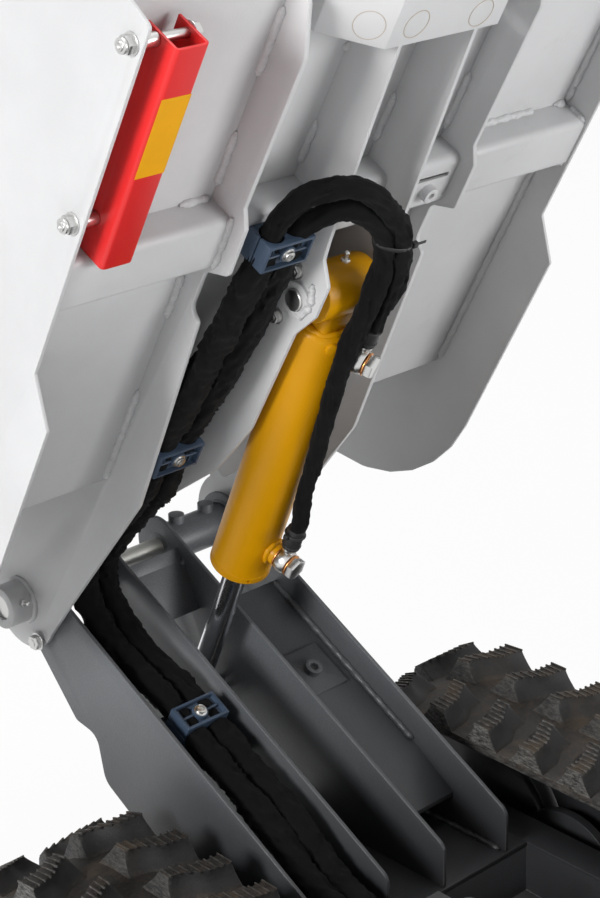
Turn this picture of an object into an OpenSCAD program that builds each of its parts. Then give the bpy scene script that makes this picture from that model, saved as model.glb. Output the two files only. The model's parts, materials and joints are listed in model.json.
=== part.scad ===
// Tracked power carrier with a front-tipping skip, shown with the skip tipped.
// +X is the machine's right side, +Y the way it drives and tips, +Z up, in millimetres.

/* [Tracks] */
// Distance between the centre lines of the two tracks
track_gauge = 586; // [570:2:640]
// Width of one lug row
lug_row_w = 80; // [60:2:90]
// Width of the plain strip between the two lug rows
lug_row_gap = 28; // [16:2:40]
// Number of links in a track
track_links = 42; // [40:1:46]
// Pitch of the links and of the lugs in a row
link_pitch = 72; // [68:0.5:76]
// Radius of the rims that the belt runs round
wheel_r = 155; // [145:1:165]
// Thickness of the belt
belt_t = 20; // [14:1:26]
// Height of a lug above the belt
lug_h = 25; // [15:1:30]
// Length of a lug along the belt, at its top
lug_len = 30; // [20:1:40]
// How far the right track has run back from its start
right_track_run = -25.5; // [-36:0.5:36]
// How far the left track has run back from its start
left_track_run = 6; // [-36:0.5:36]
// How far the idler axle is behind the skip pivot
idler_back = 305; // [280:5:340]
// Width of the sprocket and idler rims
rim_w = 40; // [30:1:60]
// Teeth on a sprocket
sprocket_teeth = 13; // [9:1:17]
// Radius of the bottom rollers
roller_r = 45; // [35:1:50]
// Width of the bottom rollers
roller_w = 60; // [40:2:80]
// Radius of the roller axles
roller_axle_r = 12; // [8:1:15]
// Radius of the idler axle
idler_axle_r = 15; // [10:1:20]
// Height and width of the track frame beam
track_beam = 60; // [50:2:70]

/* [Chassis] */
// How far the deck is below the top of the tracks
deck_drop = 109; // [90:1:125]
// Thickness of the deck plate
deck_t = 6; // [4:1:10]
// Half width of the deck plate
deck_half_w = 182; // [170:1:190]
// How far the deck reaches behind the drive axles
deck_tail = 169; // [150:1:200]
// Width of a chassis rail
rail_w = 45; // [40:1:50]
// Height of a chassis rail
rail_h = 100; // [80:2:110]
// Radius of the drive motors
motor_r = 62; // [45:1:75]
// Radius of the drive motor shafts
motor_shaft_r = 20; // [12:1:25]
// Radius of the bore in the front tow eye
tow_bore_r = 11; // [8:0.5:14]

/* [Tower] */
// Height of the skip pivot above the top of the tracks
pivot_rise = 159; // [150:1:180]
// Slope of the tower's top edge
tower_slope = 27.9; // [26:0.1:29]
// Radius of the plates' nose round the pivot
nose_r = 39; // [34:1:42]
// How far the plates' rear end is behind the pivot
tower_back = 488; // [470:2:510]
// Distance between the two inner plates, at mid thickness
inner_gap = 90.4; // [88:0.2:92]
// Distance between the two outer plates, at mid thickness
outer_gap = 300; // [290:1:306]
// Thickness of the tower plates
tower_t = 5; // [4:0.5:6]
// Radius of the pivot pin
pivot_pin_r = 15; // [10:0.5:20]
// Radius of the thinner shaft in the middle of the pivot pin
pivot_mid_r = 8; // [6:0.5:12]
// Radius of the pivot tubes
pivot_tube_r = 25; // [22:0.5:30]

/* [Skip] */
// How far the skip is tipped
tip_angle = 61.3; // [50:0.1:70]
// Distance between the side plates, at mid thickness
side_gap = 733; // [720:1:750]
// Thickness of the skip's sheets
sheet_t = 4; // [3:0.5:6]
// How far the floor's underside is below the pivot, with the skip down
floor_drop = 52; // [48:1:56]
// Distance from the pivot back to the fold between floor and front wall
fold_back = 262; // [250:1:275]
// Distance from the pivot back to the rear edge of the floor
floor_back = 948; // [930:1:960]
// Height of the rim above the pivot, with the skip down
rim_rise = 330; // [280:2:360]
// Slope of the front wall
front_slope = 46.5; // [44:0.5:50]
// How far the rear wall leans back
rear_lean = 6; // [0:0.5:8]
// Side of the square rim bar
rim_bar = 20; // [12:1:30]
// Distance between the two beams, at mid thickness
beam_gap = 326; // [322:1:336]
// Thickness of the beams
beam_t = 6; // [4:0.5:8]
// Radius of the beams' nose round the pivot
beam_nose_r = 60; // [50:1:64]
// Radius of the pivot bosses on the beams
boss_r = 26; // [22:0.5:30]
// Length of the pivot bosses
boss_len = 32; // [20:1:40]
// Distance between the two inner plates of the skip, at mid thickness
rib_gap = 105; // [103:0.2:108]
// Thickness of the skip's inner plates
rib_t = 5; // [4:0.5:6]
// Width of the cross-member along the floor
hat_w = 66; // [50:1:80]
// Depth of the cross-member below the floor
hat_h = 36; // [25:1:39]
// Distance from the pivot back to the front of the cross-member
hat_back = 607; // [590:1:620]

/* [Safety strut] */
// Width of the strut's channel
strut_w = 38; // [30:1:50]
// Depth of the strut's channel
strut_d = 44; // [35:1:52]
// Length of the strut
strut_len = 253; // [240:1:272]
// Thickness of the strut's sheet
strut_t = 3; // [2:0.5:4]
// Distance between the strut's two bolts
strut_bolt_gap = 203; // [180:1:205]
// Radius of the strut's bolts
strut_bolt_r = 5; // [3:0.5:6]

/* [Cylinder] */
// Distance from the pivot back to the barrel pin, along the floor
barrel_pin_back = 557.5; // [552:0.5:563]
// How far the barrel pin is below the pivot, with the skip down
barrel_pin_drop = 116.4; // [112:0.2:120]
// How far the rod pin is behind the pivot
rod_pin_back = 109; // [105:0.5:113]
// How far the rod pin is below the pivot
rod_pin_drop = 151; // [148:0.5:155]
// Radius of the barrel
barrel_r = 36; // [32:0.5:38]
// Wall of the barrel
barrel_wall = 6; // [4:0.5:8]
// Distance from the barrel pin to the gland face
barrel_len = 409; // [400:1:412]
// Length of the gland inside the barrel's mouth
gland_len = 34; // [20:1:45]
// Radius of the rod
rod_r = 14; // [10:0.5:17]
// Length of the rod above its pin
rod_len = 365; // [355:1:370]
// Length of the piston
piston_len = 40; // [25:1:50]
// Radius of the barrel's eye
eye_r = 31; // [26:0.5:32]
// Width of the barrel's eye
eye_w = 76; // [60:1:90]
// Radius of the rod's eye
rod_eye_r = 27; // [22:0.5:29]
// Width of the rod's eye
rod_eye_w = 46; // [30:1:70]
// Radius of the two pins
pin_r = 12.5; // [9:0.5:15]
// Angle of the upper port round the barrel, from the right towards the rear
upper_port_angle = 69; // [62:1:74]
// Angle of the lower port round the barrel, from the right towards the rear
lower_port_angle = 81; // [76:1:86]
// Distance from the barrel pin to the upper port
upper_port = 69; // [66:1:78]
// Distance from the barrel pin to the lower port
lower_port = 361; // [350:1:372]

/* [Hoses] */
// Radius of a sleeved hose
hose_r = 13.5; // [10:0.5:15]
// Distance between the two hoses
hose_gap = 30; // [28:0.5:32]
// Width of a twin clamp
clamp_w = 62; // [58:1:64]
// Length of a twin clamp along the hoses
clamp_len = 34; // [24:1:40]
// Depth of a twin clamp
clamp_d = 36; // [33:1:40]

/* [Engine deck] */
// How far the engine bay reaches ahead of the deck's rear end
bay_ahead = 393; // [375:1:400]
// Length of the hood
hood_len = 360; // [340:5:380]
// Width of the hood
hood_w = 560; // [520:5:600]
// Height of the hood
hood_h = 380; // [340:5:420]
// Thickness of the hood
hood_t = 3; // [2:0.5:5]
// How far the engine deck is above the top of the tracks
bay_rise = 25; // [20:1:40]
// Radius of the hood's hinge pins
hood_pin_r = 5; // [3:0.5:8]

/* [Controls] */
// Length of the console
console_len = 90; // [70:2:100]
// Width of the console
console_w = 420; // [380:5:460]
// Height of the console above the engine deck
console_h = 470; // [430:5:500]
// Radius of the levers
lever_r = 6; // [4:0.5:8]
// Length of the levers
lever_len = 130; // [90:5:160]
// Radius of the grab rail's tube
rail_tube_r = 12.5; // [10:0.5:16]
// Length of the operator's platform
platform_len = 330; // [280:5:360]
// Width of the operator's platform
platform_w = 480; // [420:5:520]
// Height of the platform's top above the ground
platform_z = 150; // [120:5:170]
// Radius of the platform's hinge pin
platform_pin_r = 9; // [6:0.5:12]

/* [Fits] */
// Radial clearance of a running fit
run_fit = 0.05; // [0.02:0.01:0.1]
// Gap between flat faces that slide past each other
side_play = 0.4; // [0.2:0.1:1]

/* [Hidden] */
$fn = 64;

paint_grey = [0.70, 0.70, 0.71];
paint_dark = [0.22, 0.23, 0.24];
steel = [0.75, 0.76, 0.78];
rubber = [0.10, 0.10, 0.10];
clamp_blue = [0.22, 0.30, 0.42];

// Heights above the ground
axle_z = wheel_r + belt_t + lug_h;
track_top = 2 * axle_z;
deck_z = track_top - deck_drop;
pivot_z = track_top + pivot_rise;
bay_z = track_top + bay_rise;

// Places along the machine, from the skip pivot; the rear ones are negative
idler_y = -idler_back;
belt_mid_r = wheel_r + belt_t / 2;
track_span = (track_links * link_pitch - 2 * PI * belt_mid_r) / 2;
sprocket_y = idler_y - track_span;
deck_lead = 250;
deck_front_y = deck_lead - tower_back;
deck_rear_y = sprocket_y - deck_tail;
deck_len = deck_front_y - deck_rear_y;
bay_front_y = deck_rear_y + bay_ahead;
bay_rear_y = bay_front_y - hood_len;
console_gap = 12;
console_y = bay_rear_y - console_gap - console_len;
platform_gap = 30;
platform_hinge_y = min(sprocket_y - axle_z, console_y) - platform_gap;

// Sections of the skip, as distance back and height above the pivot with the skip down
function down(p) = [-p[0], p[1]];
side_in = (side_gap - sheet_t) / 2;
side_out = (side_gap + sheet_t) / 2;
front_rise = rim_rise + floor_drop;
lip_back = fold_back - front_rise / tan(front_slope);
lip_lap = 4;
rear_rim_back = floor_back + front_rise * tan(rear_lean);

// The pivot's place on the row's Y axis, which centres the whole part on the origin
front_reach = (lip_lap - lip_back) * cos(tip_angle) + rim_rise * sin(tip_angle);
rear_reach = platform_hinge_y - platform_len;
pivot_y = -(front_reach + rear_reach) / 2;

// The tipping cylinder, in the frame of the lowered skip
barrel_pin_at = [-barrel_pin_back, -barrel_pin_drop];
rod_pin_at = [-rod_pin_back, -rod_pin_drop];
rod_pin_tipped = [rod_pin_at[0] * cos(tip_angle) - rod_pin_at[1] * sin(tip_angle),
                  rod_pin_at[0] * sin(tip_angle) + rod_pin_at[1] * cos(tip_angle)];
cyl_run = rod_pin_tipped - barrel_pin_at;
cyl_len = norm(cyl_run);
cyl_angle = atan2(cyl_run[1], cyl_run[0]);
bore_r = barrel_r - barrel_wall;
rod_pin_len = inner_gap - tower_t - 2 * side_play;

// Shapes that repeat

// A plate whose outline is drawn in the Y-Z plane, from x = x0 on, t thick
module plate(x0, t) translate([x0, 0, 0]) rotate([90, 0, 90]) linear_extrude(t) children();

// A round bar along X
module bar_x(x0, x1, r) translate([x0, 0, 0]) rotate([0, 90, 0]) cylinder(h = x1 - x0, r = r);

// Moves what is drawn from the skip pivot to its place
module at_pivot() translate([0, pivot_y, pivot_z]) children();

// Moves what is drawn from the ground under the skip pivot to its place
module on_ground() translate([0, pivot_y, 0]) children();

// Turns what is drawn for the lowered skip to the tipped skip
module tipped() at_pivot() rotate([-tip_angle, 0, 0]) children();

// Puts what is drawn along +Y from the barrel pin on the cylinder
module on_cylinder() tipped() translate([0, barrel_pin_at[0], barrel_pin_at[1]]) rotate([cyl_angle, 0, 0])
    children();

// An outline whose corners, given as [y, z, radius], are rounded
function unit(v) = v / norm(v);
function corner(a, b, c, r) =
    let (u = unit(a - b), v = unit(c - b), half = acos(u * v) / 2, n = 5,
         centre = b + unit(u + v) * r / sin(half), p = b + u * r / tan(half),
         q = b + v * r / tan(half), from = atan2(p[1] - centre[1], p[0] - centre[0]),
         to = atan2(q[1] - centre[1], q[0] - centre[0]),
         turn = to - from > 180 ? to - from - 360 : to - from < -180 ? to - from + 360 : to - from)
    [for (i = [0:n]) centre + r * [cos(from + turn * i / n), sin(from + turn * i / n)]];
function flat(p) = [p[0], p[1]];
function rounded(pts) = [for (i = [0:len(pts) - 1])
    let (b = pts[i], a = pts[(i + len(pts) - 1) % len(pts)], c = pts[(i + 1) % len(pts)])
    each b[2] > 0 ? corner(flat(a), flat(b), flat(c), b[2]) : [flat(b)]];

// Tracks

// A point r away from the line through both axles, where the belt's middle has run t
function on_loop(t, r) = let (bend = PI * belt_mid_r, u = (t + 2 * (track_span + bend)) % (2 * (track_span + bend)))
    u < track_span ? [idler_y - u, r]
    : u < track_span + bend ? let (a = (u - track_span) / belt_mid_r * 180 / PI)
        [sprocket_y - r * sin(a), r * cos(a)]
    : u < 2 * track_span + bend ? [sprocket_y + u - track_span - bend, -r]
    : let (a = (u - 2 * track_span - bend) / belt_mid_r * 180 / PI)
        [idler_y + r * sin(a), -r * cos(a)];

// The outline of the belt with one row of lugs
lug_foot = 10;
function lug_outline(phase) = [for (i = [0:track_links - 1])
    let (t = i * link_pitch + phase, foot = lug_len / 2 + lug_foot / 2, r = wheel_r + belt_t)
    each [on_loop(t - foot, r), on_loop(t - lug_len / 2, r + lug_h),
          on_loop(t + lug_len / 2, r + lug_h), on_loop(t + foot, r)]];

module stadium(r) {
    translate([idler_y, 0]) circle(r);
    translate([sprocket_y, 0]) circle(r);
    translate([sprocket_y, -r]) square([track_span, 2 * r]);
}

module lug_row(phase) linear_extrude(lug_row_w) difference() {
    polygon(lug_outline(phase));
    stadium(wheel_r);
}

// A track, whose two rows of lugs are half a pitch apart
module rubber_track(side) color(rubber) on_ground() translate([side * track_gauge / 2, 0, axle_z])
    rotate([90, 0, 90]) {
        run = side > 0 ? right_track_run : left_track_run;
        translate([0, 0, lug_row_gap / 2]) lug_row(run);
        translate([0, 0, -lug_row_gap / 2 - lug_row_w]) lug_row(run + link_pitch / 2);
        translate([0, 0, -lug_row_gap / 2]) linear_extrude(lug_row_gap) difference() {
            stadium(wheel_r + belt_t);
            stadium(wheel_r);
        }
    }

belt_play = 0.5;
wheel_out_r = wheel_r - belt_play;
arm_x = rim_w / 2 + side_play;
arm_t = 8;
arm_lap = 30;
arm_nose = 28;
axle_end = 4;
roller_z = lug_h + belt_t + belt_play + roller_r;
roller_places = [0.2, 0.5, 0.8];
function roller_y(i) = idler_y - track_span * roller_places[i];
track_frame_ends = 175;
hanger_t = 8;
hanger_len = 56;
hanger_foot = 8;
saddle_t = 10;
beam_low = axle_z - track_beam / 2;
slide_t = 12;
slide_drop = 20;
slide_clear = 8;
cross_tubes = [0.19, 0.7];
pad_r = 80;
pad_t = 12;
pad_clear = 2.5;
pad_z = roller_z + roller_r + pad_clear + pad_r;
function cross_tube_y(f) = idler_y - f * track_span;

// The beam inside a track, with its slide plate, cross-tube pads, idler's fork and axle, and rollers' hangers
module track_frame(side) color(paint_dark) on_ground() translate([side * track_gauge / 2, 0, 0]) {
    beam_front_y = idler_y - track_frame_ends;
    beam_rear_y = sprocket_y + track_frame_ends;
    translate([-track_beam / 2, beam_rear_y, beam_low]) cube([track_beam, beam_front_y - beam_rear_y, track_beam]);
    slide_h = axle_z + wheel_r - slide_drop - beam_low;
    plate(-slide_t / 2, slide_t) difference() {
        translate([beam_rear_y, beam_low]) square([idler_y - beam_rear_y, slide_h]);
        translate([idler_y, axle_z]) circle(wheel_r + slide_clear);
    }
    for (f = cross_tubes) translate([-side * track_beam / 2, cross_tube_y(f), pad_z])
        rotate([0, -side * 90, 0]) cylinder(h = pad_t, r = pad_r);
    for (m = [0, 1]) mirror([m, 0, 0]) translate([arm_x, beam_front_y - arm_lap, beam_low])
        cube([arm_t, idler_y - beam_front_y + arm_lap + arm_nose, track_beam]);
    arm_end = arm_x + arm_t + axle_end;
    translate([0, idler_y, axle_z]) bar_x(-arm_end, arm_end, idler_axle_r);
    hanger_x = roller_w / 2 + side_play;
    hanger_low = roller_z - roller_axle_r - hanger_foot;
    for (i = [0:2]) translate([0, roller_y(i), 0]) {
        for (m = [0, 1]) mirror([m, 0, 0]) translate([hanger_x, -hanger_len / 2, hanger_low])
            cube([hanger_t, hanger_len, beam_low - hanger_low]);
        translate([-hanger_x, -hanger_len / 2, beam_low - saddle_t]) cube([2 * hanger_x, hanger_len, saddle_t]);
        hanger_end = hanger_x + hanger_t + axle_end;
        translate([0, 0, roller_z]) bar_x(-hanger_end, hanger_end, roller_axle_r);
    }
}

// A wheel about X: a rim, a web and a hub with its bore
module wheel(r, w, rim, web, hub, bore) rotate([0, 90, 0]) rotate_extrude() polygon([
    [bore, -w / 2], [hub, -w / 2], [hub, -web / 2], [r - rim, -web / 2], [r - rim, -w / 2],
    [r, -w / 2], [r, w / 2], [r - rim, w / 2], [r - rim, web / 2], [hub, web / 2],
    [hub, w / 2], [bore, w / 2]]);

idler_rim = 14;
idler_web = 12;
idler_hub = idler_axle_r + 20;
module idler(side) color(paint_dark) on_ground() translate([side * track_gauge / 2, idler_y, axle_z])
    wheel(wheel_out_r, rim_w, idler_rim, idler_web, idler_hub, idler_axle_r + run_fit);

roller_rim = 10;
roller_web = 24;
roller_hub = roller_axle_r + 12;
module roller(side, i) color(paint_dark) on_ground()
    translate([side * track_gauge / 2, roller_y(i), roller_z])
        wheel(roller_r, roller_w, roller_rim, roller_web, roller_hub, roller_axle_r + run_fit);

// A drive sprocket with rounded gullets and lightening holes
tooth_gullet_r = 17;
gullet_out = tooth_gullet_r / 3;
sprocket_hub_r = 48;
sprocket_t = 26;
sprocket_holes = 5;
sprocket_hole_r = 22;
sprocket_hole_at = (wheel_out_r + sprocket_hub_r) / 2 - 6;
module sprocket(side) color(paint_dark) on_ground() translate([side * track_gauge / 2, sprocket_y, axle_z])
    rotate([0, 90, 0]) difference() {
        union() {
            cylinder(h = sprocket_t, r = wheel_out_r, center = true);
            cylinder(h = rim_w, r = sprocket_hub_r, center = true);
        }
        for (i = [0:sprocket_teeth - 1]) rotate(i * 360 / sprocket_teeth) translate([wheel_out_r + gullet_out, 0, 0])
            cylinder(h = 2 * rim_w, r = tooth_gullet_r, center = true);
        for (i = [0:sprocket_holes - 1]) rotate(i * 360 / sprocket_holes) translate([sprocket_hole_at, 0, 0])
            cylinder(h = 2 * rim_w, r = sprocket_hole_r, center = true);
        cylinder(h = 2 * rim_w, r = motor_shaft_r + run_fit, center = true);
    }

rail_out = deck_half_w + rail_w;
motor_flange_t = 16;
motor_case = 70;
motor_step = 10;
motor_neck = 12;
motor_neck_r = motor_shaft_r + 14;
motor_cap_t = 9;
motor_cap_r = motor_shaft_r + 10;
// The two drive motors on the rails, with the shafts that carry the sprockets
module drive_motors() color(paint_dark) on_ground() for (m = [0, 1]) mirror([m, 0, 0])
    translate([0, sprocket_y, axle_z]) {
        sprocket_in = track_gauge / 2 - rim_w / 2 - side_play;
        sprocket_end = track_gauge / 2 + rim_w / 2 + side_play;
        bar_x(deck_half_w - motor_case, deck_half_w, motor_r - motor_step);
        bar_x(rail_out, rail_out + motor_flange_t, motor_r);
        bar_x(rail_out + motor_flange_t, sprocket_in - motor_neck, motor_r - motor_step);
        bar_x(sprocket_in - motor_neck, sprocket_in, motor_neck_r);
        bar_x(sprocket_in, sprocket_end, motor_shaft_r);
        bar_x(sprocket_end, sprocket_end + motor_cap_t, motor_cap_r);
    }

// Chassis

cross_tube_w = 70;
cross_tube_h = 50;
rear_plate_t = 10;
cheek_lap = 40;
rail_tail = 100;
rail_rear_y = sprocket_y - rail_tail;
deck_lip = 3;
well_front_y = -tower_back - deck_lip;
well_end = 40;
well_rear_y = bay_front_y + well_end;
well_x = -20;
cross_plate_t = 8;
rail_low = deck_z - deck_t - rail_h;
tow_t = 16;
tow_reach = 40;
tow_lap = 60;
platform_pin_drop = 15;
platform_pin_z = platform_z - platform_pin_drop;
lug_w = 40;
lug_in = 60;
lug_t = 20;
lug_r = platform_pin_r + 9;
lug_plate_t = 8;
lug_xs = [-platform_w / 2 + lug_in, platform_w / 2 - lug_in - lug_w];
// The deck plate between the rails, with an open well behind the tower
module deck_plate() color(paint_dark) on_ground() difference() {
    translate([-deck_half_w, deck_rear_y, deck_z - deck_t]) cube([2 * deck_half_w, deck_len, deck_t]);
    translate([well_x, well_rear_y, deck_z - 2 * deck_t])
        cube([2 * deck_half_w, well_front_y - well_rear_y, 3 * deck_t]);
}

// The welded frame: rails, cross-plates, cross-tubes to the track frames, tow eye and platform lugs
module chassis_frame() color(paint_dark) on_ground() {
    for (m = [0, 1]) mirror([m, 0, 0]) {
        translate([deck_half_w, rail_rear_y, rail_low])
            cube([rail_w, deck_front_y - rail_rear_y, rail_h + deck_t]);
        translate([deck_half_w - rear_plate_t, deck_rear_y, rail_low])
            cube([rear_plate_t, rail_rear_y + cheek_lap - deck_rear_y, rail_h]);
    }
    for (f = cross_tubes) {
        tube_x = track_gauge / 2 - track_beam / 2 - pad_t;
        translate([-tube_x, cross_tube_y(f) - cross_tube_w / 2, axle_z - cross_tube_h / 2])
            cube([2 * tube_x, cross_tube_w, cross_tube_h]);
    }
    translate([-deck_half_w, deck_rear_y, rail_low]) cube([2 * deck_half_w, rear_plate_t, rail_h]);
    translate([-deck_half_w, well_front_y, rail_low]) cube([2 * deck_half_w, cross_plate_t, rail_h]);
    difference() {
        translate([-rail_out, deck_front_y - tow_lap, rail_low - tow_t])
            cube([2 * rail_out, tow_lap + tow_reach, tow_t]);
        translate([0, deck_front_y + tow_reach / 2, rail_low - 2 * tow_t]) cylinder(h = 4 * tow_t, r = tow_bore_r);
    }
    for (x = lug_xs) translate([x, 0, 0]) difference() {
        union() {
            translate([0, platform_hinge_y, platform_pin_z - lug_t / 2])
                cube([lug_w, deck_rear_y - platform_hinge_y, lug_t]);
            translate([0, deck_rear_y - lug_plate_t, platform_pin_z - lug_t / 2])
                cube([lug_w, lug_plate_t, deck_z - deck_t - platform_pin_z + lug_t / 2]);
            translate([0, platform_hinge_y, platform_pin_z]) bar_x(0, lug_w, lug_r);
        }
        translate([0, platform_hinge_y, platform_pin_z]) bar_x(-1, lug_w + 1, platform_pin_r + run_fit);
    }
}

bay_wall_t = 6;
bay_lip = 6;
bay_half = deck_half_w - 10;
hinge_out = 12;
hinge_wall = 5;
hinge_knuckle = 40;
hinge_ear = 10;
hood_hinge_x = -hood_w / 2 - hinge_out;
hinge_r = hood_pin_r + hinge_wall;
hood_hinge_z = bay_z + hood_pin_r + hinge_wall + 4;
hood_knuckle_in = 70;
hood_knuckles = [bay_front_y - hood_knuckle_in, bay_rear_y + hood_knuckle_in];
bay_plate_half = hood_w / 2 + hinge_out + hinge_r;
// The raised deck that carries the engine above the tracks, with the pins of the hood's hinges
module engine_deck() color(paint_dark) on_ground() {
    bay_len = bay_front_y - console_y;
    wall_h = bay_z - deck_z - bay_wall_t;
    translate([-bay_plate_half, console_y - bay_lip, bay_z - bay_wall_t])
        cube([2 * bay_plate_half, bay_len + bay_lip, bay_wall_t]);
    for (m = [0, 1]) mirror([m, 0, 0])
        translate([bay_half - bay_wall_t, deck_rear_y, deck_z]) cube([bay_wall_t, bay_front_y - deck_rear_y, wall_h]);
    translate([-bay_half + bay_wall_t, bay_front_y - bay_wall_t, deck_z])
        cube([2 * (bay_half - bay_wall_t), bay_wall_t, wall_h]);
    for (y = hood_knuckles) translate([hood_hinge_x, y, hood_hinge_z]) rotate([90, 0, 0]) {
        ear_at = hinge_knuckle / 2 + side_play;
        translate([0, 0, -hinge_knuckle / 2]) cylinder(h = hinge_knuckle + hinge_ear + side_play, r = hood_pin_r);
        translate([0, 0, ear_at]) cylinder(h = hinge_ear, r = hinge_r);
        translate([-hinge_r, bay_z - hood_hinge_z, ear_at]) cube([2 * hinge_r, hood_hinge_z - bay_z, hinge_ear]);
    }
}

// Tower

function top_edge(y) = nose_r / cos(tower_slope) + y * tan(tower_slope);
deck_under_pivot = deck_z - pivot_z;
foot_in = 4;
tower_foot = deck_front_y - foot_in;
top_tangent = nose_r * [-sin(tower_slope), cos(tower_slope)];
under_slope = 46.2;
under_tangent = nose_r * [sin(under_slope), -cos(under_slope)];

// The part of every tower plate's outline that runs along its top and rear end
function tower_top() = [[top_tangent[0], top_tangent[1], 0], [-tower_back, top_edge(-tower_back), 16],
    [-tower_back, deck_under_pivot, 0]];

module tower_outline(under) {
    circle(nose_r);
    polygon(rounded(concat(tower_top(), under, [[under_tangent[0], under_tangent[1], 0], [0, 0, 0]])));
}

// The scalloped lower edge of the outer plates, and the deeper one of the inner plates
outer_under = [[tower_foot, deck_under_pivot, 0], [-192, -238, 30], [-124, -200, 24], [-112, -144, 20],
    [-74, -138, 12]];
inner_under = [[tower_foot, deck_under_pivot, 0], [-150, -240, 20], [-62, -200, 30]];

module tower_plate(mid, under) color(paint_dark) at_pivot() plate(mid - tower_t / 2, tower_t) difference() {
    tower_outline(under);
    circle(pivot_pin_r + run_fit);
}
module tower_plate_outer_left() tower_plate(-outer_gap / 2, outer_under);
module tower_plate_outer_right() tower_plate(outer_gap / 2, outer_under);
module tower_plates_inner() for (m = [-1, 1]) tower_plate(m * inner_gap / 2, inner_under);

bay_x0 = inner_gap / 2 + tower_t / 2;
bay_x1 = outer_gap / 2 - tower_t / 2;
fold_t = 5;
fold_depth = 40;
fold_ends = [-95, -345];
fold_flange = 60;
fold_dip = 6;
// A point on a line that lies d below the plates' top edge
function below_top(y, d) = [y, top_edge(y) - d / cos(tower_slope)];
clamp_y = -230;
clamp_shelf_len = 70;
gusset_top = [-40, -4];
gusset_tilt = 28;
gusset_up = 4;
gusset_h = 70;
patch_y = -216;
patch_w = 64;
patch_t = 4;
patch_boss_r = 11;
patch_boss_h = 12;
socket_r = 6;
// The folded box between the right plates, the gusset by the pin and the shelf of the hose clamp
module tower_cross_plates() color(paint_dark) at_pivot() {
    flange_y = fold_ends[1] - fold_flange;
    plate(bay_x0, bay_x1 - bay_x0) polygon([below_top(fold_ends[0], fold_depth), below_top(fold_ends[1], fold_depth),
        below_top(flange_y, fold_depth + fold_dip), below_top(flange_y, fold_depth + fold_dip + fold_t),
        below_top(fold_ends[1], fold_depth + fold_t), below_top(fold_ends[0], fold_depth + fold_t)]);
    gusset_x = inner_gap / 2 - tower_t / 2;
    translate([0, gusset_top[0], gusset_top[1]]) rotate([-gusset_tilt, 0, 0])
        translate([-gusset_x, -fold_t, gusset_up - gusset_h]) cube([2 * gusset_x, fold_t, gusset_h]);
    shelf = [clamp_y - clamp_shelf_len / 2, clamp_y + clamp_shelf_len / 2];
    plate(-bay_x1, bay_x1 - bay_x0) polygon([below_top(shelf[0], clamp_d), below_top(shelf[1], clamp_d),
        below_top(shelf[1], clamp_d + fold_t), below_top(shelf[0], clamp_d + fold_t)]);
    patch_at = below_top(patch_y, fold_depth);
    translate([(bay_x0 + bay_x1) / 2, patch_at[0], patch_at[1]]) rotate([tower_slope, 0, 0]) difference() {
        union() {
            translate([-patch_w / 2, -patch_w / 2, 0]) cube([patch_w, patch_w, patch_t]);
            cylinder(h = patch_boss_h, r = patch_boss_r);
        }
        translate([0, 0, patch_boss_h / 2]) cylinder(h = patch_boss_h, r = socket_r, $fn = 6);
    }
}

stub_in = 26;
stub_r = 10;
stub_h = 9;
module pivot_tubes() color(paint_dark) at_pivot() for (m = [0, 1]) mirror([m, 0, 0]) difference() {
    union() {
        bar_x(bay_x0, bay_x1, pivot_tube_r);
        for (x = [bay_x0 + stub_in, bay_x1 - stub_in]) translate([x, 0, 0])
            cylinder(h = pivot_tube_r + stub_h, r = stub_r);
    }
    bar_x(bay_x0 - 1, bay_x1 + 1, pivot_pin_r + run_fit);
}

boss_end = beam_gap / 2 + beam_t / 2 + boss_len;
pin_inset = 3;
// The pin that the skip turns on, thinner between the inner plates
module skip_pivot_pin() color(steel) at_pivot() {
    for (m = [0, 1]) mirror([m, 0, 0]) bar_x(inner_gap / 2 - tower_t / 2, boss_end - pin_inset, pivot_pin_r);
    bar_x(-inner_gap / 2, inner_gap / 2, pivot_mid_r);
}

// Skip

floor_under = -floor_drop;
// The front wall's underside, at a distance back from the pivot
function front_under(s) = floor_under + (fold_back - s) * tan(front_slope);

module skip_floor() color(paint_grey) tipped()
    translate([-side_in, -floor_back, floor_under]) cube([2 * side_in, floor_back - fold_back, sheet_t]);

rim_fold = 24;
module skip_front_wall() color(paint_grey) tipped() plate(-side_in, 2 * side_in) polygon([
    down([fold_back, floor_under]), down([lip_back, rim_rise]),
    down([lip_back + sheet_t / sin(front_slope), rim_rise]),
    down([fold_back, floor_under + sheet_t / cos(front_slope)])]);

module skip_rear_wall() color(paint_grey) tipped() plate(-side_in, 2 * side_in) polygon([
    down([floor_back, floor_under]), down([rear_rim_back, rim_rise]),
    down([rear_rim_back + rim_fold, rim_rise]), down([rear_rim_back + rim_fold, rim_rise - sheet_t]),
    down([rear_rim_back + sheet_t, rim_rise - sheet_t]), down([floor_back + sheet_t, floor_under])]);

skirt_low = -130;
skirt_high = -91;
skirt_step = [535, 493];
skirt_round_r = 205;
skirt_corner = [36, -20];
skirt_turn = [100, skirt_low];
skirt_rear = [946, -59];
rim_bar_short = 16;
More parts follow.
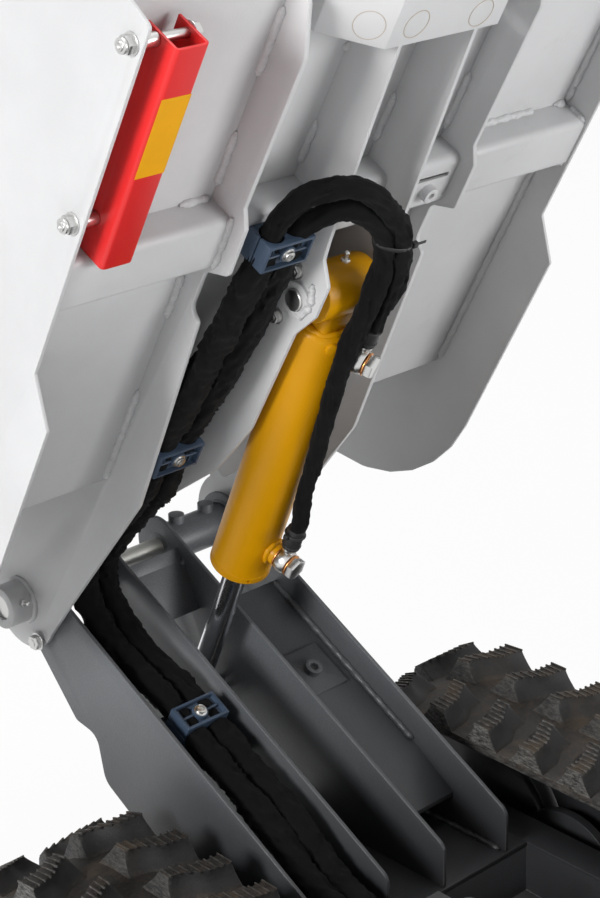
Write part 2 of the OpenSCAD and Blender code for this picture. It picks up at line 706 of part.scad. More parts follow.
// A side plate, from the skirt under the floor to the rim, with its rim bar
module skip_side(m) color(paint_grey) tipped() mirror([m, 0, 0]) {
    difference() {
        plate(side_in, sheet_t) polygon(rounded([
            [-rear_rim_back - sheet_t, rim_rise, 0], [-floor_back - sheet_t, skirt_rear[1], 0],
            [-skirt_rear[0], skirt_high, 6], [-skirt_step[0], skirt_high, 4], [-skirt_step[1], skirt_low, 4],
            [-skirt_turn[0], skirt_turn[1], skirt_round_r], [-skirt_corner[0], skirt_corner[1], 0],
            [lip_lap - lip_back, rim_rise, 0]]));
        if (m == 1) for (s = strut_bolts_s) translate([0, -s, strut_bolt_z])
            bar_x(side_in - 1, side_out + 1, strut_bolt_r + run_fit);
    }
    translate([side_out, -rear_rim_back - sheet_t, rim_rise - rim_bar])
        cube([rim_bar, rear_rim_back + sheet_t - lip_back - rim_bar_short, rim_bar]);
}
module skip_side_left() skip_side(1);
module skip_side_right() skip_side(0);

// The beams' lower edge, as distance back and height, from the rear to the nose
beam_rear = 930;
function beam_under() = [[beam_rear, floor_under, 0], [beam_rear - 3, -77, 6], [875, -97, 10], [693, -95, 4],
    [674, -106, 4], [614, -107, 6], [596, -78, 10], [545, -78, 14], [538, -93, 6], [276, -110, 24], [61, -70, 0]];
boss_web = 130;
module skip_beam(m) color(paint_grey) tipped() mirror([m, 0, 0]) difference() {
    union() {
        plate((beam_gap - beam_t) / 2, beam_t) {
            circle(beam_nose_r);
            polygon(rounded([for (p = concat([[fold_back, floor_under, 0]], beam_under(),
                [[-12, -beam_nose_r * 0.97, 0], [-50, 30, 0], [boss_web, front_under(boss_web), 0]]))
                [-p[0], p[1], p[2]]]));
        }
        bar_x((beam_gap + beam_t) / 2, boss_end, boss_r);
    }
    bar_x(beam_gap / 2 - beam_t, boss_end + 1, pivot_pin_r + run_fit);
}
module skip_beam_left() skip_beam(1);
module skip_beam_right() skip_beam(0);

// The inner plates' lower edge, with the bulge round the barrel pin
rib_under = [[880, floor_under, 0], [880, -109, 4], [644, -124, 10], [620, -127, 6], [598, -146, 8],
    [556, -146, 10], [518, -130, 10], [372, -127, 40], [287, -106, 20], [167, -45, 10]];
rib_front = 185;
pin_boss_r = 20;
pin_boss_t = 4;
pin_end = 3;
rib_out = (rib_gap + rib_t) / 2;
module skip_inner_plates() color(paint_grey) tipped() for (m = [0, 1]) mirror([m, 0, 0]) difference() {
    union() {
        plate((rib_gap - rib_t) / 2, rib_t) polygon(rounded([for (p = concat([[fold_back, floor_under, 0]],
            rib_under, [[rib_front, front_under(rib_front), 0]])) [-p[0], p[1], p[2]]]));
        translate([0, barrel_pin_at[0], barrel_pin_at[1]]) bar_x(rib_out, rib_out + pin_boss_t, pin_boss_r);
    }
    translate([0, barrel_pin_at[0], barrel_pin_at[1]]) bar_x(rib_gap / 2 - rib_t, rib_gap, pin_r + run_fit);
}

// The pin in the barrel's eye, with a spacer on each side of the eye
module barrel_pin() color(steel) tipped() translate([0, barrel_pin_at[0], barrel_pin_at[1]]) {
    pin_half = rib_out + pin_boss_t + pin_end;
    bar_x(-pin_half, pin_half, pin_r);
    for (m = [0, 1]) mirror([m, 0, 0]) bar_x(eye_w / 2 + side_play, rib_gap / 2 - rib_t / 2, pin_r + spacer_t);
}
spacer_t = 6;

beam_in = (beam_gap - beam_t) / 2;
rib_in = (rib_gap - rib_t) / 2;
hat_bend_r = 9;
hat_slot = [72, hat_back + 47];
hat_slot_size = [78, 6];
hat_boss = [123, hat_back + 27];
hat_boss_r = 9.5;
hat_boss_h = 10;
hat_bore_r = 4;
// The outline of the cross-member, or its inside
function hat_path(t) = let (s0 = hat_back + t, s1 = hat_back + hat_w - t, low = floor_under - hat_h + t)
    rounded([[-s1, floor_under + t, 0], [-s1, low, hat_bend_r - t], [-s0, low, hat_bend_r - t],
        [-s0, floor_under + t, 0]]);
module hat(x0, x1) plate(x0, x1 - x0) difference() {
    polygon(hat_path(0));
    polygon(hat_path(sheet_t));
}
// The folded cross-member, in lengths between the side plates, the beams and the inner plates, with its boss
module skip_cross_member() color(paint_grey) tipped() {
    for (m = [0, 1]) mirror([m, 0, 0]) hat(beam_in + beam_t, side_in);
    mirror([1, 0, 0]) hat(rib_out, beam_in);
    hat(-rib_in, rib_in);
    difference() {
        hat(rib_out, beam_in);
        translate([hat_slot[0], -hat_slot[1], floor_under - hat_h - 1])
            cube([hat_slot_size[0], hat_slot_size[1], sheet_t + 2]);
    }
    translate([hat_boss[0], -hat_boss[1], floor_under - hat_h - hat_boss_h]) difference() {
        cylinder(h = hat_boss_h, r = hat_boss_r);
        translate([0, 0, -1]) cylinder(h = hat_boss_h / 2 + 1, r = hat_bore_r);
    }
}

bracket_s = [882, 944];
bracket_low = -114;
bracket_wing = [56, 43];
bracket_in = 24;
bracket_past = 24;
// The folded bracket between the beams at the rear of the floor, with its left wing bent up
module skip_top_bracket() color(paint_grey) tipped() {
    x0 = bracket_in - beam_in;
    x1 = rib_gap / 2 + bracket_past;
    fold = x0 + bracket_wing[0];
    high = bracket_low + bracket_wing[1];
    slope = atan2(bracket_wing[1], bracket_wing[0]);
    translate([0, -bracket_s[0], 0]) rotate([90, 0, 0]) linear_extrude(bracket_s[1] - bracket_s[0]) polygon([
        [x0, floor_under], [x0, high], [fold, bracket_low], [x1, bracket_low], [x1, floor_under],
        [x1 - sheet_t, floor_under], [x1 - sheet_t, bracket_low + sheet_t],
        [fold + sheet_t * tan(slope / 2), bracket_low + sheet_t],
        [x0 + sheet_t, high + sheet_t * (1 / cos(slope) - tan(slope))], [x0 + sheet_t, floor_under]]);
}

// Safety strut

strut_x = -342;
strut_low = -105;
strut_s = 674;
strut_bolt_in = 42;
strut_bolts_s = [strut_s + strut_bolt_in, strut_s + strut_bolt_in + strut_bolt_gap];
strut_bolt_z = -77;
strut_bend_r = strut_t + 2;
// The bent steel channel, open towards the floor, that props the tipped skip
module safety_strut() color([0.80, 0.12, 0.10]) tipped() translate([strut_x, -strut_s, strut_low]) difference() {
    rotate([90, 0, 0]) linear_extrude(strut_len) polygon(rounded([[0, strut_d, 0], [0, 0, strut_bend_r],
        [strut_w, 0, strut_bend_r], [strut_w, strut_d, 0], [strut_w - strut_t, strut_d, 0],
        [strut_w - strut_t, strut_t, strut_bend_r - strut_t], [strut_t, strut_t, strut_bend_r - strut_t],
        [strut_t, strut_d, 0]]));
    for (s = strut_bolts_s) translate([0, strut_s - s, strut_bolt_z - strut_low])
        bar_x(-1, strut_w + 1, strut_bolt_r + run_fit);
}

bolt_play = 0.3;
bolt_end = 7;
nut_r = strut_bolt_r * 1.9;
nut_h = strut_bolt_r * 1.6;
strut_spacer_r = strut_bolt_r * 1.4;
// Two long bolts through the skirt and the strut, each with a spacer and its nuts
module strut_bolts() color(steel) tipped() for (s = strut_bolts_s) translate([0, -s, strut_bolt_z]) {
    bar_x(-side_out - nut_h - bolt_end, strut_x + strut_w + nut_h, strut_bolt_r);
    bar_x(-side_in + bolt_play, strut_x - bolt_play, strut_spacer_r);
    for (x = [-side_out - nut_h - bolt_play, strut_x + strut_w + bolt_play])
        translate([x, 0, 0]) rotate([0, 90, 0]) cylinder(h = nut_h, r = nut_r, $fn = 6);
}

// Cylinder

eye_neck = 10;
tail = eye_r + eye_neck;
tail_lap = 4;
neck_w = 46;
head_t = 14;
port_root = 5;
// The barrel with its eye, its bore and the two port bosses
module cylinder_barrel() color([0.86, 0.62, 0.05]) on_cylinder() difference() {
    union() {
        bar_x(-eye_w / 2, eye_w / 2, eye_r);
        translate([-neck_w / 2, 0, -neck_w / 2]) cube([neck_w, tail + tail_lap, neck_w]);
        translate([0, tail, 0]) rotate([-90, 0, 0]) cylinder(h = barrel_len - tail, r = barrel_r);
        for (p = ports) translate([0, p[0], 0]) rotate([0, p[1], 0])
            bar_x(barrel_r - port_root, barrel_r + p[2], port_boss_r);
    }
    bar_x(-eye_w, eye_w, pin_r + run_fit);
    translate([0, tail + head_t, 0]) rotate([-90, 0, 0]) {
        cylinder(h = barrel_len - tail - head_t - gland_len, r = bore_r);
        cylinder(h = barrel_len, r = rod_r + run_fit);
    }
}

upper_boss_h = 6;
lower_boss_h = 9;
// Each port as distance from the barrel pin, turn round the barrel and height of its boss
ports = [[upper_port, upper_port_angle, upper_boss_h], [lower_port, lower_port_angle, lower_boss_h]];
port_boss_r = 11;
banjo_h = 16;
banjo_r = 11;
banjo_tail = 26;
banjo_tail_r = 7;
banjo_head_r = 9;
banjo_head_h = 7;
// The banjo fittings on the ports, each with its bolt head and hose tail
module cylinder_fittings() color(steel) on_cylinder() for (p = ports) translate([0, p[0], 0])
    rotate([0, p[1], 0]) translate([barrel_r + p[2], 0, 0]) {
        bar_x(0, banjo_h, banjo_r);
        bar_x(banjo_h, banjo_h + banjo_head_h, banjo_head_r);
        translate([banjo_h / 2, -banjo_tail, 0]) rotate([-90, 0, 0]) cylinder(h = banjo_tail, r = banjo_tail_r);
    }

rod_neck = 34;
rod_neck_r = rod_r + 4;
// The rod with its piston, its eye and the pin in the eye
module cylinder_rod() color([0.86, 0.87, 0.89]) on_cylinder() translate([0, cyl_len, 0]) {
    rotate([90, 0, 0]) {
        cylinder(h = rod_len, r = rod_r);
        translate([0, 0, rod_len - piston_len]) cylinder(h = piston_len, r = bore_r - run_fit);
        cylinder(h = rod_neck, r = rod_neck_r);
    }
    bar_x(-rod_eye_w / 2, rod_eye_w / 2, rod_eye_r);
    bar_x(-rod_pin_len / 2, rod_pin_len / 2, pin_r);
}

// Hoses

// Points of the two hoses as [x, distance back, height above the pivot], with the skip down
clamp_1 = [-110, 642, -107];
clamp_2 = [-126, 332, -90];
clamp_in = 25;
hose_out = hose_gap / 2;
tower_x = -97;
tower_hose_drop = clamp_d / 2;
function tower_point(y, d = tower_hose_drop) = let (p = below_top(y, d)) [tower_x, p[0], p[1]];

// Turns a point of the lowered skip to the tipped one
function tip_point(p) = [p[0], -p[1] * cos(tip_angle) + p[2] * sin(tip_angle),
    p[1] * sin(tip_angle) + p[2] * cos(tip_angle)];

// The line midway between the hoses, in stretches that meet end to end
function past(clamp, d) = clamp + [0, d, 0];
tower_end = clamp_y + clamp_in;
valve_front_y = -560;
hose_rise = deck_under_pivot + tower_hose_drop + 2;
hose_lift = 12;
hose_lead = 15;
hose_run = clamp_y - valve_front_y;
low_drop = tower_hose_drop + 8;
function up_tower(f, d = tower_hose_drop) = tower_point(valve_front_y + f * hose_run, d);
tower_line = [for (i = [0:2]) [tower_x, valve_front_y + i * hose_lead, hose_rise],
    [tower_x, valve_front_y + 0.212 * hose_run, hose_rise + hose_lift], up_tower(0.364, low_drop), up_tower(0.545),
    up_tower(0.727), up_tower(0.879), up_tower(1), tower_point(tower_end)];
pivot_line = [tower_point(tower_end), tower_point(tower_end + 10), tower_point(tower_end + 20), [-98, -140, -50],
    [-100, -104, -16], [-103, -82, 24], [-107, -92, 70], tip_point([-113, 190, -66]), tip_point([-120, 240, -82]),
    tip_point(past(clamp_2, -clamp_in - 30)), tip_point(past(clamp_2, -clamp_in - 15)),
    tip_point(past(clamp_2, -clamp_in))];
loop_in = past(clamp_1, clamp_in);
skip_line = [past(clamp_2, -clamp_in), clamp_2, past(clamp_2, clamp_in), [-123, 420, -96], [-119, 500, -101],
    [-114, 580, -105], past(clamp_1, -clamp_in), clamp_1, loop_in];

// The end of a fitting's tail, or a point d above it along the barrel
function port_end(port, d) =
    let (r = barrel_r + port[2] + banjo_h / 2, run = port[0] - banjo_tail - d,
         along = [cos(cyl_angle), sin(cyl_angle)], up = [-sin(cyl_angle), cos(cyl_angle)],
         at = barrel_pin_at + run * along - r * sin(port[1]) * up)
    [r * cos(port[1]), -at[0], at[1]];

// The two hoses from the upper clamp over the cylinder's eye to the ports
lead = 6;
function led(p) = [p, past(p, lead), past(p, 2 * lead)];
short_hose = [each led(loop_in - [hose_out, 0, 0]), [-116, 705, -110], [-86, 722, -122], [-50, 724, -138],
    [-14, 712, -152], [10, 678, -160], [22, 632, -167], [26, 592, -171], [25, 562, -171],
    port_end(ports[0], 2 * lead), port_end(ports[0], lead), port_end(ports[0], 0)];
long_hose = [each led(loop_in + [hose_out, 0, 0]), [-86, 684, -118], [-62, 686, -137], [-34, 677, -144],
    [-13, 650, -149], [-8, 615, -155], [-9, 580, -162], [-10, 545, -168], [-10, 510, -172], [-7, 460, -177],
    [-3, 400, -182], [2, 330, -188], [5, 285, -192], port_end(ports[1], 2 * lead), port_end(ports[1], lead),
    port_end(ports[1], 0)];

// A smooth curve through the points, and the two lines at its sides
function ease(a, b, c, d, t) = 0.5 * (2 * b + (c - a) * t + (2 * a - 5 * b + 4 * c - d) * t * t
    + (3 * b - a - 3 * c + d) * t * t * t);
function curve(p, n) = [for (i = [0:len(p) - 2]) let (a = i == 0 ? 2 * p[0] - p[1] : p[i - 1],
    d = i == len(p) - 2 ? 2 * p[i + 1] - p[i] : p[i + 2]) for (k = [0:n - 1]) ease(a, p[i], p[i + 1], d, k / n),
    p[len(p) - 1]];
function shifted(p, dx) = [for (q = p) q + [dx, 0, 0]];
function tip_line(p) = [for (q = p) tip_point(q)];

// A tube of 10 sides along a line, as points and faces
hose_sides = 10;
function heading(p, i) = unit(p[min(i + 1, len(p) - 1)] - p[max(i - 1, 0)]);
function ring(p, i, r) = let (d = heading(p, i), u = unit(cross(d, [1, 0.2, 0.1])), v = cross(d, u))
    [for (k = [0:hose_sides - 1]) p[i] + r * (u * cos(k * 360 / hose_sides) + v * sin(k * 360 / hose_sides))];
module tube(p, r) {
    n = hose_sides;
    last = len(p) - 1;
    polyhedron([for (i = [0:last]) each ring(p, i, r)], concat(
        [for (k = [1:n - 2]) [0, k + 1, k]],
        [for (k = [1:n - 2]) [last * n, last * n + k, last * n + k + 1]],
        [for (i = [0:last - 1]) for (k = [0:n - 1]) let (a = i * n + k, b = i * n + (k + 1) % n)
            each [[a, b, b + n], [a, b + n, a + n]]]));
}
module twin(line, steps) color(rubber) at_pivot() for (dx = [-hose_out, hose_out])
    tube(shifted(curve(line, steps), dx), hose_r);

module tower_hoses() twin(tower_line, 2);
module pivot_hoses() twin(pivot_line, 3);
module skip_hoses() twin(tip_line(skip_line), 2);
module port_hoses() color(rubber) at_pivot() {
    tube(curve(tip_line(short_hose), 2), hose_r);
    tube(curve(tip_line(long_hose), 2), hose_r);
}

clamp_recess = 5;
clamp_lip = 4;
clamp_rib = 8;
clamp_head_r = 7;
clamp_head_h = 4;
clamp_key_r = 3.5;
// A twin clamp with its foot h below its middle, its cover's recess and its bolt
module twin_clamp(h) {
    difference() {
        translate([-clamp_w / 2, -clamp_len / 2, -h]) cube([clamp_w, clamp_len, h + clamp_d / 2]);
        for (x = [-hose_out, hose_out]) translate([x, 0, 0]) rotate([90, 0, 0])
            cylinder(h = 2 * clamp_len, r = hose_r + side_play, center = true);
        for (m = [0, 1]) mirror([m, 0, 0])
            translate([clamp_rib, clamp_lip - clamp_len / 2, clamp_d / 2 - clamp_recess])
                cube([clamp_w / 2 - clamp_rib - clamp_lip, clamp_len - 2 * clamp_lip, clamp_d]);
    }
    translate([0, 0, clamp_d / 2]) difference() {
        cylinder(h = clamp_head_h, r = clamp_head_r);
        translate([0, 0, clamp_head_h / 4]) cylinder(h = clamp_head_h, r = clamp_key_r, $fn = 6);
    }
}

module tower_clamp() color(clamp_blue) at_pivot() translate(tower_point(clamp_y)) rotate([tower_slope, 0, 0])
    twin_clamp(clamp_d / 2);

// The upper clamp stands on the cross-member, the lower one on the floor
module skip_clamps() color(clamp_blue) tipped() for (c = [[clamp_1, hat_h], [clamp_2, 0]]) let (at = c[0])
    translate([at[0], -at[1], at[2]]) rotate([0, 180, 0]) twin_clamp(floor_under - c[1] - at[2]);

// Engine bay

hood_gap = 1;
louvre_rise = 120;
louvre_step = 34;
louvre_h = 14;
// The hood, a five-sided cover with louvres, hinged along its left edge
module hood() color(paint_grey) on_ground() {
    difference() {
        translate([-hood_w / 2, bay_rear_y, bay_z + hood_gap]) cube([hood_w, hood_len, hood_h]);
        translate([-hood_w / 2 + hood_t, bay_rear_y + hood_t, bay_z])
            cube([hood_w - 2 * hood_t, hood_len - 2 * hood_t, hood_h - hood_t + hood_gap]);
        for (i = [0:5]) translate([-hood_w, bay_rear_y + hood_knuckle_in, bay_z + louvre_rise + i * louvre_step])
            cube([2 * hood_w, hood_len - 2 * hood_knuckle_in, louvre_h]);
    }
    knuckle_r = hinge_r - 1;
    for (y = hood_knuckles) translate([hood_hinge_x, y, hood_hinge_z]) rotate([90, 0, 0]) difference() {
        union() {
            cylinder(h = hinge_knuckle, r = knuckle_r, center = true);
            translate([0, -knuckle_r, -hinge_knuckle / 2]) cube([hinge_out, 2 * knuckle_r, hinge_knuckle]);
        }
        cylinder(h = 2 * hinge_knuckle, r = hood_pin_r + run_fit, center = true);
    }
}

bay_mid_y = (bay_front_y + bay_rear_y) / 2;
crank_z = 70;
crankcase = [180, 200, 140];
block_size = [90, 100, 120];
fin_size = [130, 140, 5];
fin_pitch = 12;
flywheel_r = 70;
flywheel_w = 60;
shaft_end = 150;
shaft_r = 18;
tank_in = 14;
fuel_tank_w = 78;
pump_gap = 8;
pump_len = 50;
engine_x = -hood_w / 2 + tank_in + fuel_tank_w + pump_gap + pump_len + shaft_end;
// The engine: crankcase, finned cylinder, flywheel housing and the shaft to the pump
module engine() color([0.30, 0.30, 0.31]) on_ground() translate([engine_x, bay_mid_y, bay_z]) {
    translate([-crankcase[0] / 2, -crankcase[1] / 2, 0]) cube(crankcase);
    translate([-block_size[0] / 2, -block_size[1] / 2, crankcase[2]]) cube(block_size);
    for (i = [3:8]) translate([-fin_size[0] / 2, -fin_size[1] / 2, crankcase[2] + fin_pitch * i]) cube(fin_size);
    translate([0, 0, crank_z]) bar_x(crankcase[0] / 2, crankcase[0] / 2 + flywheel_w, flywheel_r);
    translate([0, 0, crank_z]) bar_x(-shaft_end, -crankcase[0] / 2, shaft_r);
}

muffler_r = 40;
muffler_len = 180;
muffler_z = 225;
exhaust_r = 12;
exhaust_len = 12;
// The muffler in front of the engine, on the exhaust stub that meets the fins
module muffler() color([0.45, 0.44, 0.43]) on_ground()
    translate([engine_x, bay_mid_y + fin_size[1] / 2, bay_z + muffler_z]) {
        translate([0, exhaust_len + muffler_r, 0]) bar_x(-muffler_len / 2, muffler_len / 2, muffler_r);
        rotate([-90, 0, 0]) cylinder(h = exhaust_len + muffler_r, r = exhaust_r);
    }

fuel_tank_h = 150;
fuel_end = 40;
fuel_cap_r = 32;
fuel_cap_h = 26;
module fuel_tank() color([0.15, 0.15, 0.15]) on_ground() translate([-hood_w / 2 + tank_in, bay_rear_y, bay_z]) {
    translate([0, fuel_end, 0]) cube([fuel_tank_w, hood_len - 2 * fuel_end, fuel_tank_h]);
    translate([fuel_tank_w / 2, hood_len / 2, fuel_tank_h]) cylinder(h = fuel_cap_h, r = fuel_cap_r);
}

hydro_size = [110, 150, 94];
hydro_at = [-120, -60];
hydro_cap_r = 26;
hydro_cap_h = 24;
module hydraulic_tank() color(paint_dark) on_ground()
    translate([hydro_at[0], bay_front_y + hydro_at[1] - hydro_size[1], deck_z]) {
        cube(hydro_size);
        translate([hydro_size[0] / 2, hydro_size[1] / 2, hydro_size[2]]) cylinder(h = hydro_cap_h, r = hydro_cap_r);
    }

pump_r = 34;
pump_foot = [30, 60, 50];
pump_foot_in = 14;
module hydraulic_pump() color([0.35, 0.36, 0.38]) on_ground()
    translate([engine_x - shaft_end, bay_mid_y, bay_z + crank_z]) {
        bar_x(-pump_len, 0, pump_r);
        translate([-pump_foot_in - pump_foot[0], -pump_foot[1] / 2, -crank_z]) cube(pump_foot);
    }

valve_size = [110, 120, 70];
valve_caps = 4;
valve_cap_pitch = 26;
valve_cap_r = 9;
valve_cap_h = 22;
// The valve block on the deck, where the two hoses start
module valve_block() color([0.35, 0.36, 0.38]) on_ground()
    translate([tower_x, valve_front_y - valve_size[1] / 2, deck_z]) {
        translate([-valve_size[0] / 2, -valve_size[1] / 2, 0]) cube(valve_size);
        for (i = [0:valve_caps - 1]) translate([(i - (valve_caps - 1) / 2) * valve_cap_pitch, 0, valve_size[2]])
            cylinder(h = valve_cap_h, r = valve_cap_r);
    }

// Controls

lever_base_z = bay_z + console_h;
lever_y = console_y + console_len / 2;
lever_hub_r = 14;
lever_hub_w = 20;
lever_axle_r = 5;
lever_axle_z = lever_base_z - 24;
lever_x = [-60, 60, 0, 140];
slot_in = 12;
ear_t = 6;
ear_w = 20;
// The console: a hollow pedestal whose top carries the levers on their axles
module console() color(paint_dark) on_ground() {
    difference() {
        translate([-console_w / 2, console_y, bay_z]) cube([console_w, console_len, console_h]);
        translate([-console_w / 2 + hood_t, console_y + hood_t, bay_z - 1])
            cube([console_w - 2 * hood_t, console_len - 2 * hood_t, console_h - hood_t + 1]);
        for (x = lever_x) translate([x - lever_hub_w / 2 - 1, console_y + slot_in, lever_base_z - 2 * hood_t])
            cube([lever_hub_w + 2, console_len - 2 * slot_in, 4 * hood_t]);
    }
    ear_x = lever_hub_w / 2 + side_play;
    ear_low = lever_axle_z - ear_w / 2;
    for (x = lever_x) {
        for (m = [0, 1]) translate([x, lever_y, 0]) mirror([m, 0, 0]) translate([ear_x, -ear_w / 2, ear_low])
            cube([ear_t, ear_w, lever_base_z - hood_t - ear_low]);
        translate([x, lever_y, lever_axle_z]) bar_x(-ear_x - ear_t, ear_x + ear_t, lever_axle_r);
    }
}

knob_lap = 14;
module lever(x, knob) color(rubber) on_ground() translate([x, lever_y, lever_axle_z]) {
    difference() {
        union() {
            bar_x(-lever_hub_w / 2, lever_hub_w / 2, lever_hub_r);
            cylinder(h = lever_hub_r + lever_len, r = lever_r);
        }
        bar_x(-lever_hub_w, lever_hub_w, lever_axle_r + run_fit);
    }
    translate([0, 0, lever_hub_r + lever_len - knob_lap]) cylinder(h = 3 * knob, r = knob);
    translate([0, 0, lever_hub_r + lever_len - knob_lap + 3 * knob]) sphere(knob);
}
drive_knob = 14;
tip_knob = 11;
throttle_knob = 9;
module drive_lever_left() lever(lever_x[0], drive_knob);
module drive_lever_right() lever(lever_x[1], drive_knob);
module tip_lever() lever(lever_x[2], tip_knob);
module throttle_lever() lever(lever_x[3], throttle_knob);

grab_in = 40;
grab_drop = 50;
grab_reach = 80;
grab_foot_t = 5;
grab_foot_r = rail_tube_r + 10;
// The grab rail behind the console: a bent tube with a foot at each end
module grab_rail() color(paint_dark) on_ground() translate([0, console_y, lever_base_z - grab_drop]) {
    half = console_w / 2 - grab_in;
    for (m = [0, 1]) mirror([m, 0, 0]) translate([half, 0, 0]) {
        rotate([90, 0, 0]) cylinder(h = grab_foot_t, r = grab_foot_r);
        rotate([90, 0, 0]) cylinder(h = grab_reach, r = rail_tube_r);
        translate([0, -grab_reach, 0]) sphere(rail_tube_r);
    }
    translate([0, -grab_reach, 0]) bar_x(-half, half, rail_tube_r);
}

platform_t = 18;
platform_start = 26;
platform_arm_w = 12;
platform_arm_r = platform_pin_r + 7;
platform_arm_len = 40;
platform_arm_h = 14;
grip_r = 16;
grip_pitch = 56;
grip_first = 50;
// The operator's platform with its grip holes, which folds up against the rear
module operator_platform() color(paint_dark) on_ground() translate([0, platform_hinge_y, platform_pin_z]) {
    platform_low = platform_pin_drop - platform_t;
    difference() {
        translate([-platform_w / 2, -platform_len, platform_low])
            cube([platform_w, platform_len - platform_start, platform_t]);
        for (x = [-3:3]) for (y = [0:4]) translate([x * grip_pitch, -grip_first - y * grip_pitch, 0])
            cylinder(h = 4 * platform_t, r = grip_r, center = true);
    }
    arm_in = platform_w / 2 - lug_in + side_play;
    for (m = [0, 1]) mirror([m, 0, 0]) translate([arm_in, 0, 0]) {
        bar_x(0, platform_arm_w, platform_arm_r);
        translate([0, -platform_arm_len, platform_low]) cube([platform_arm_w, platform_arm_len, platform_arm_h]);
    }
    bar_x(-arm_in, arm_in, platform_pin_r);
}

module rubber_track_left() rubber_track(-1);
module rubber_track_right() rubber_track(1);
module track_frame_left() track_frame(-1);
module track_frame_right() track_frame(1);
module sprocket_left() sprocket(-1);
module sprocket_right() sprocket(1);
module idler_left() idler(-1);
module idler_right() idler(1);

chassis_frame();
deck_plate();
engine_deck();
tower_plate_outer_left();
tower_plates_inner();
tower_plate_outer_right();
tower_cross_plates();
pivot_tubes();
skip_pivot_pin();
track_frame_left();
track_frame_right();
rubber_track_left();
rubber_track_right();
drive_motors();
engine();
muffler();
fuel_tank();
hydraulic_tank();
hydraulic_pump();
valve_block();
console();
grab_rail();
tower_hoses();
pivot_hoses();
tower_clamp();
hood();
operator_platform();
drive_lever_left();
drive_lever_right();
tip_lever();
throttle_lever();
sprocket_left();
sprocket_right();
idler_left();
idler_right();
roller(-1, 0);  // roller_left_1
roller(-1, 1);  // roller_left_2
roller(-1, 2);  // roller_left_3
roller(1, 0);  // roller_right_1
roller(1, 1);  // roller_right_2
roller(1, 2);  // roller_right_3
skip_floor();
skip_front_wall();
skip_rear_wall();
skip_side_left();
skip_side_right();
skip_beam_left();
skip_beam_right();
skip_inner_plates();
skip_cross_member();
skip_top_bracket();
safety_strut();
strut_bolts();
skip_clamps();
skip_hoses();
barrel_pin();
cylinder_barrel();
cylinder_fittings();
cylinder_rod();
port_hoses();
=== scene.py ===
import json
import math

import bpy
from mathutils import Matrix, Vector


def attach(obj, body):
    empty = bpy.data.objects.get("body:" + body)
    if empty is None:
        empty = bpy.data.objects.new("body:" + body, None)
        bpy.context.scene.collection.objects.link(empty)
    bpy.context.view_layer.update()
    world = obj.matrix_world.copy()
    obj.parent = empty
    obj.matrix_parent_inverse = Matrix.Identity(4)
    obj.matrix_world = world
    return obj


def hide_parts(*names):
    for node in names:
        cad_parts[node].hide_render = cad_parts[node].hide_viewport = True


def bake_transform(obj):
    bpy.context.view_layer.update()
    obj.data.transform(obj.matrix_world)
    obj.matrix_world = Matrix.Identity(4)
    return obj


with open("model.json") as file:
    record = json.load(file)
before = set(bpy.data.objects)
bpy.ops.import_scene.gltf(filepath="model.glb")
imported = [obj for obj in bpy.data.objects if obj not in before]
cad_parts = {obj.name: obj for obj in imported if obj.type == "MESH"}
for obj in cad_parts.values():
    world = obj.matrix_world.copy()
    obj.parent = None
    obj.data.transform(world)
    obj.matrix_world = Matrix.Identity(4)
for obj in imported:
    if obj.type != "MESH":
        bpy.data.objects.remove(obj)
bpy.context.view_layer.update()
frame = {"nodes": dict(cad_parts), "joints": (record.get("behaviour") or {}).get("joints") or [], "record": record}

bl_info = {
    "name": "Tracked Power Carrier",
    "version": (1, 0, 0),
    "blender": (4, 5, 0),
    "location": "View3D > Sidebar > Carrier",
    "description": "Gives the parts of a tracked power carrier their finished shapes and materials",
    "category": "Object",
}

MM = 0.001
JOINTS = {joint["name"]: joint for joint in frame["joints"]}
NODES = frame["record"]["behaviour"]["bodies"]
BODY_OF = {node: body for body, nodes in NODES.items() for node in nodes}
SLOT_OF = {part["node"]: part["material_slot"] for part in frame["record"]["subparts"]}

# The frames that details are placed in: the tipped skip as if it lay flat, and the cylinder from
# its barrel pin along +Y. Both are in metres from their own origin.
PIVOT = Vector(JOINTS["skip_tip"]["pos_m"])
TIP = math.radians(JOINTS["skip_tip"]["range_deg"][1])
SKIP = Matrix.Translation(PIVOT) @ Matrix.Rotation(-TIP, 4, "X")
BARREL_PIN = Vector(JOINTS["barrel_swing"]["pos_m"])
CYLINDER_AXIS = Vector(JOINTS["rod_slide"]["axis"]).normalized()
CYLINDER_UP = Vector((1, 0, 0)).cross(CYLINDER_AXIS)
CYLINDER = Matrix.Translation(BARREL_PIN) @ Matrix(
    ((1, 0, 0), CYLINDER_AXIS, CYLINDER_UP)).transposed().to_4x4()
TOWER_SLOPE = math.radians(27.9)


class CarrierSizes(bpy.types.PropertyGroup):
    """Sizes of the details that the looks add, in metres."""

    edge: bpy.props.FloatProperty(
        name="Edge", description="Radius of the rounded sheet edges", default=0.0009, unit="LENGTH")
    weld: bpy.props.FloatProperty(
        name="Weld", description="Radius of the weld beads", default=0.0046, unit="LENGTH")
    sleeve: bpy.props.FloatProperty(
        name="Sleeve", description="Radius of the hose sleeves", default=0.0132, unit="LENGTH")
    hose_gap: bpy.props.FloatProperty(
        name="Hose gap", description="Distance between the two hoses", default=0.030, unit="LENGTH")
    wrinkle: bpy.props.FloatProperty(
        name="Wrinkle", description="Depth of the sleeves' wrinkles", default=0.0062, unit="LENGTH")
    lug_height: bpy.props.FloatProperty(
        name="Lug height", description="Height of the track lugs", default=0.025, unit="LENGTH")
    lug_slant: bpy.props.FloatProperty(
        name="Lug slant", description="How far a lug's outer end trails", default=0.024, unit="LENGTH")


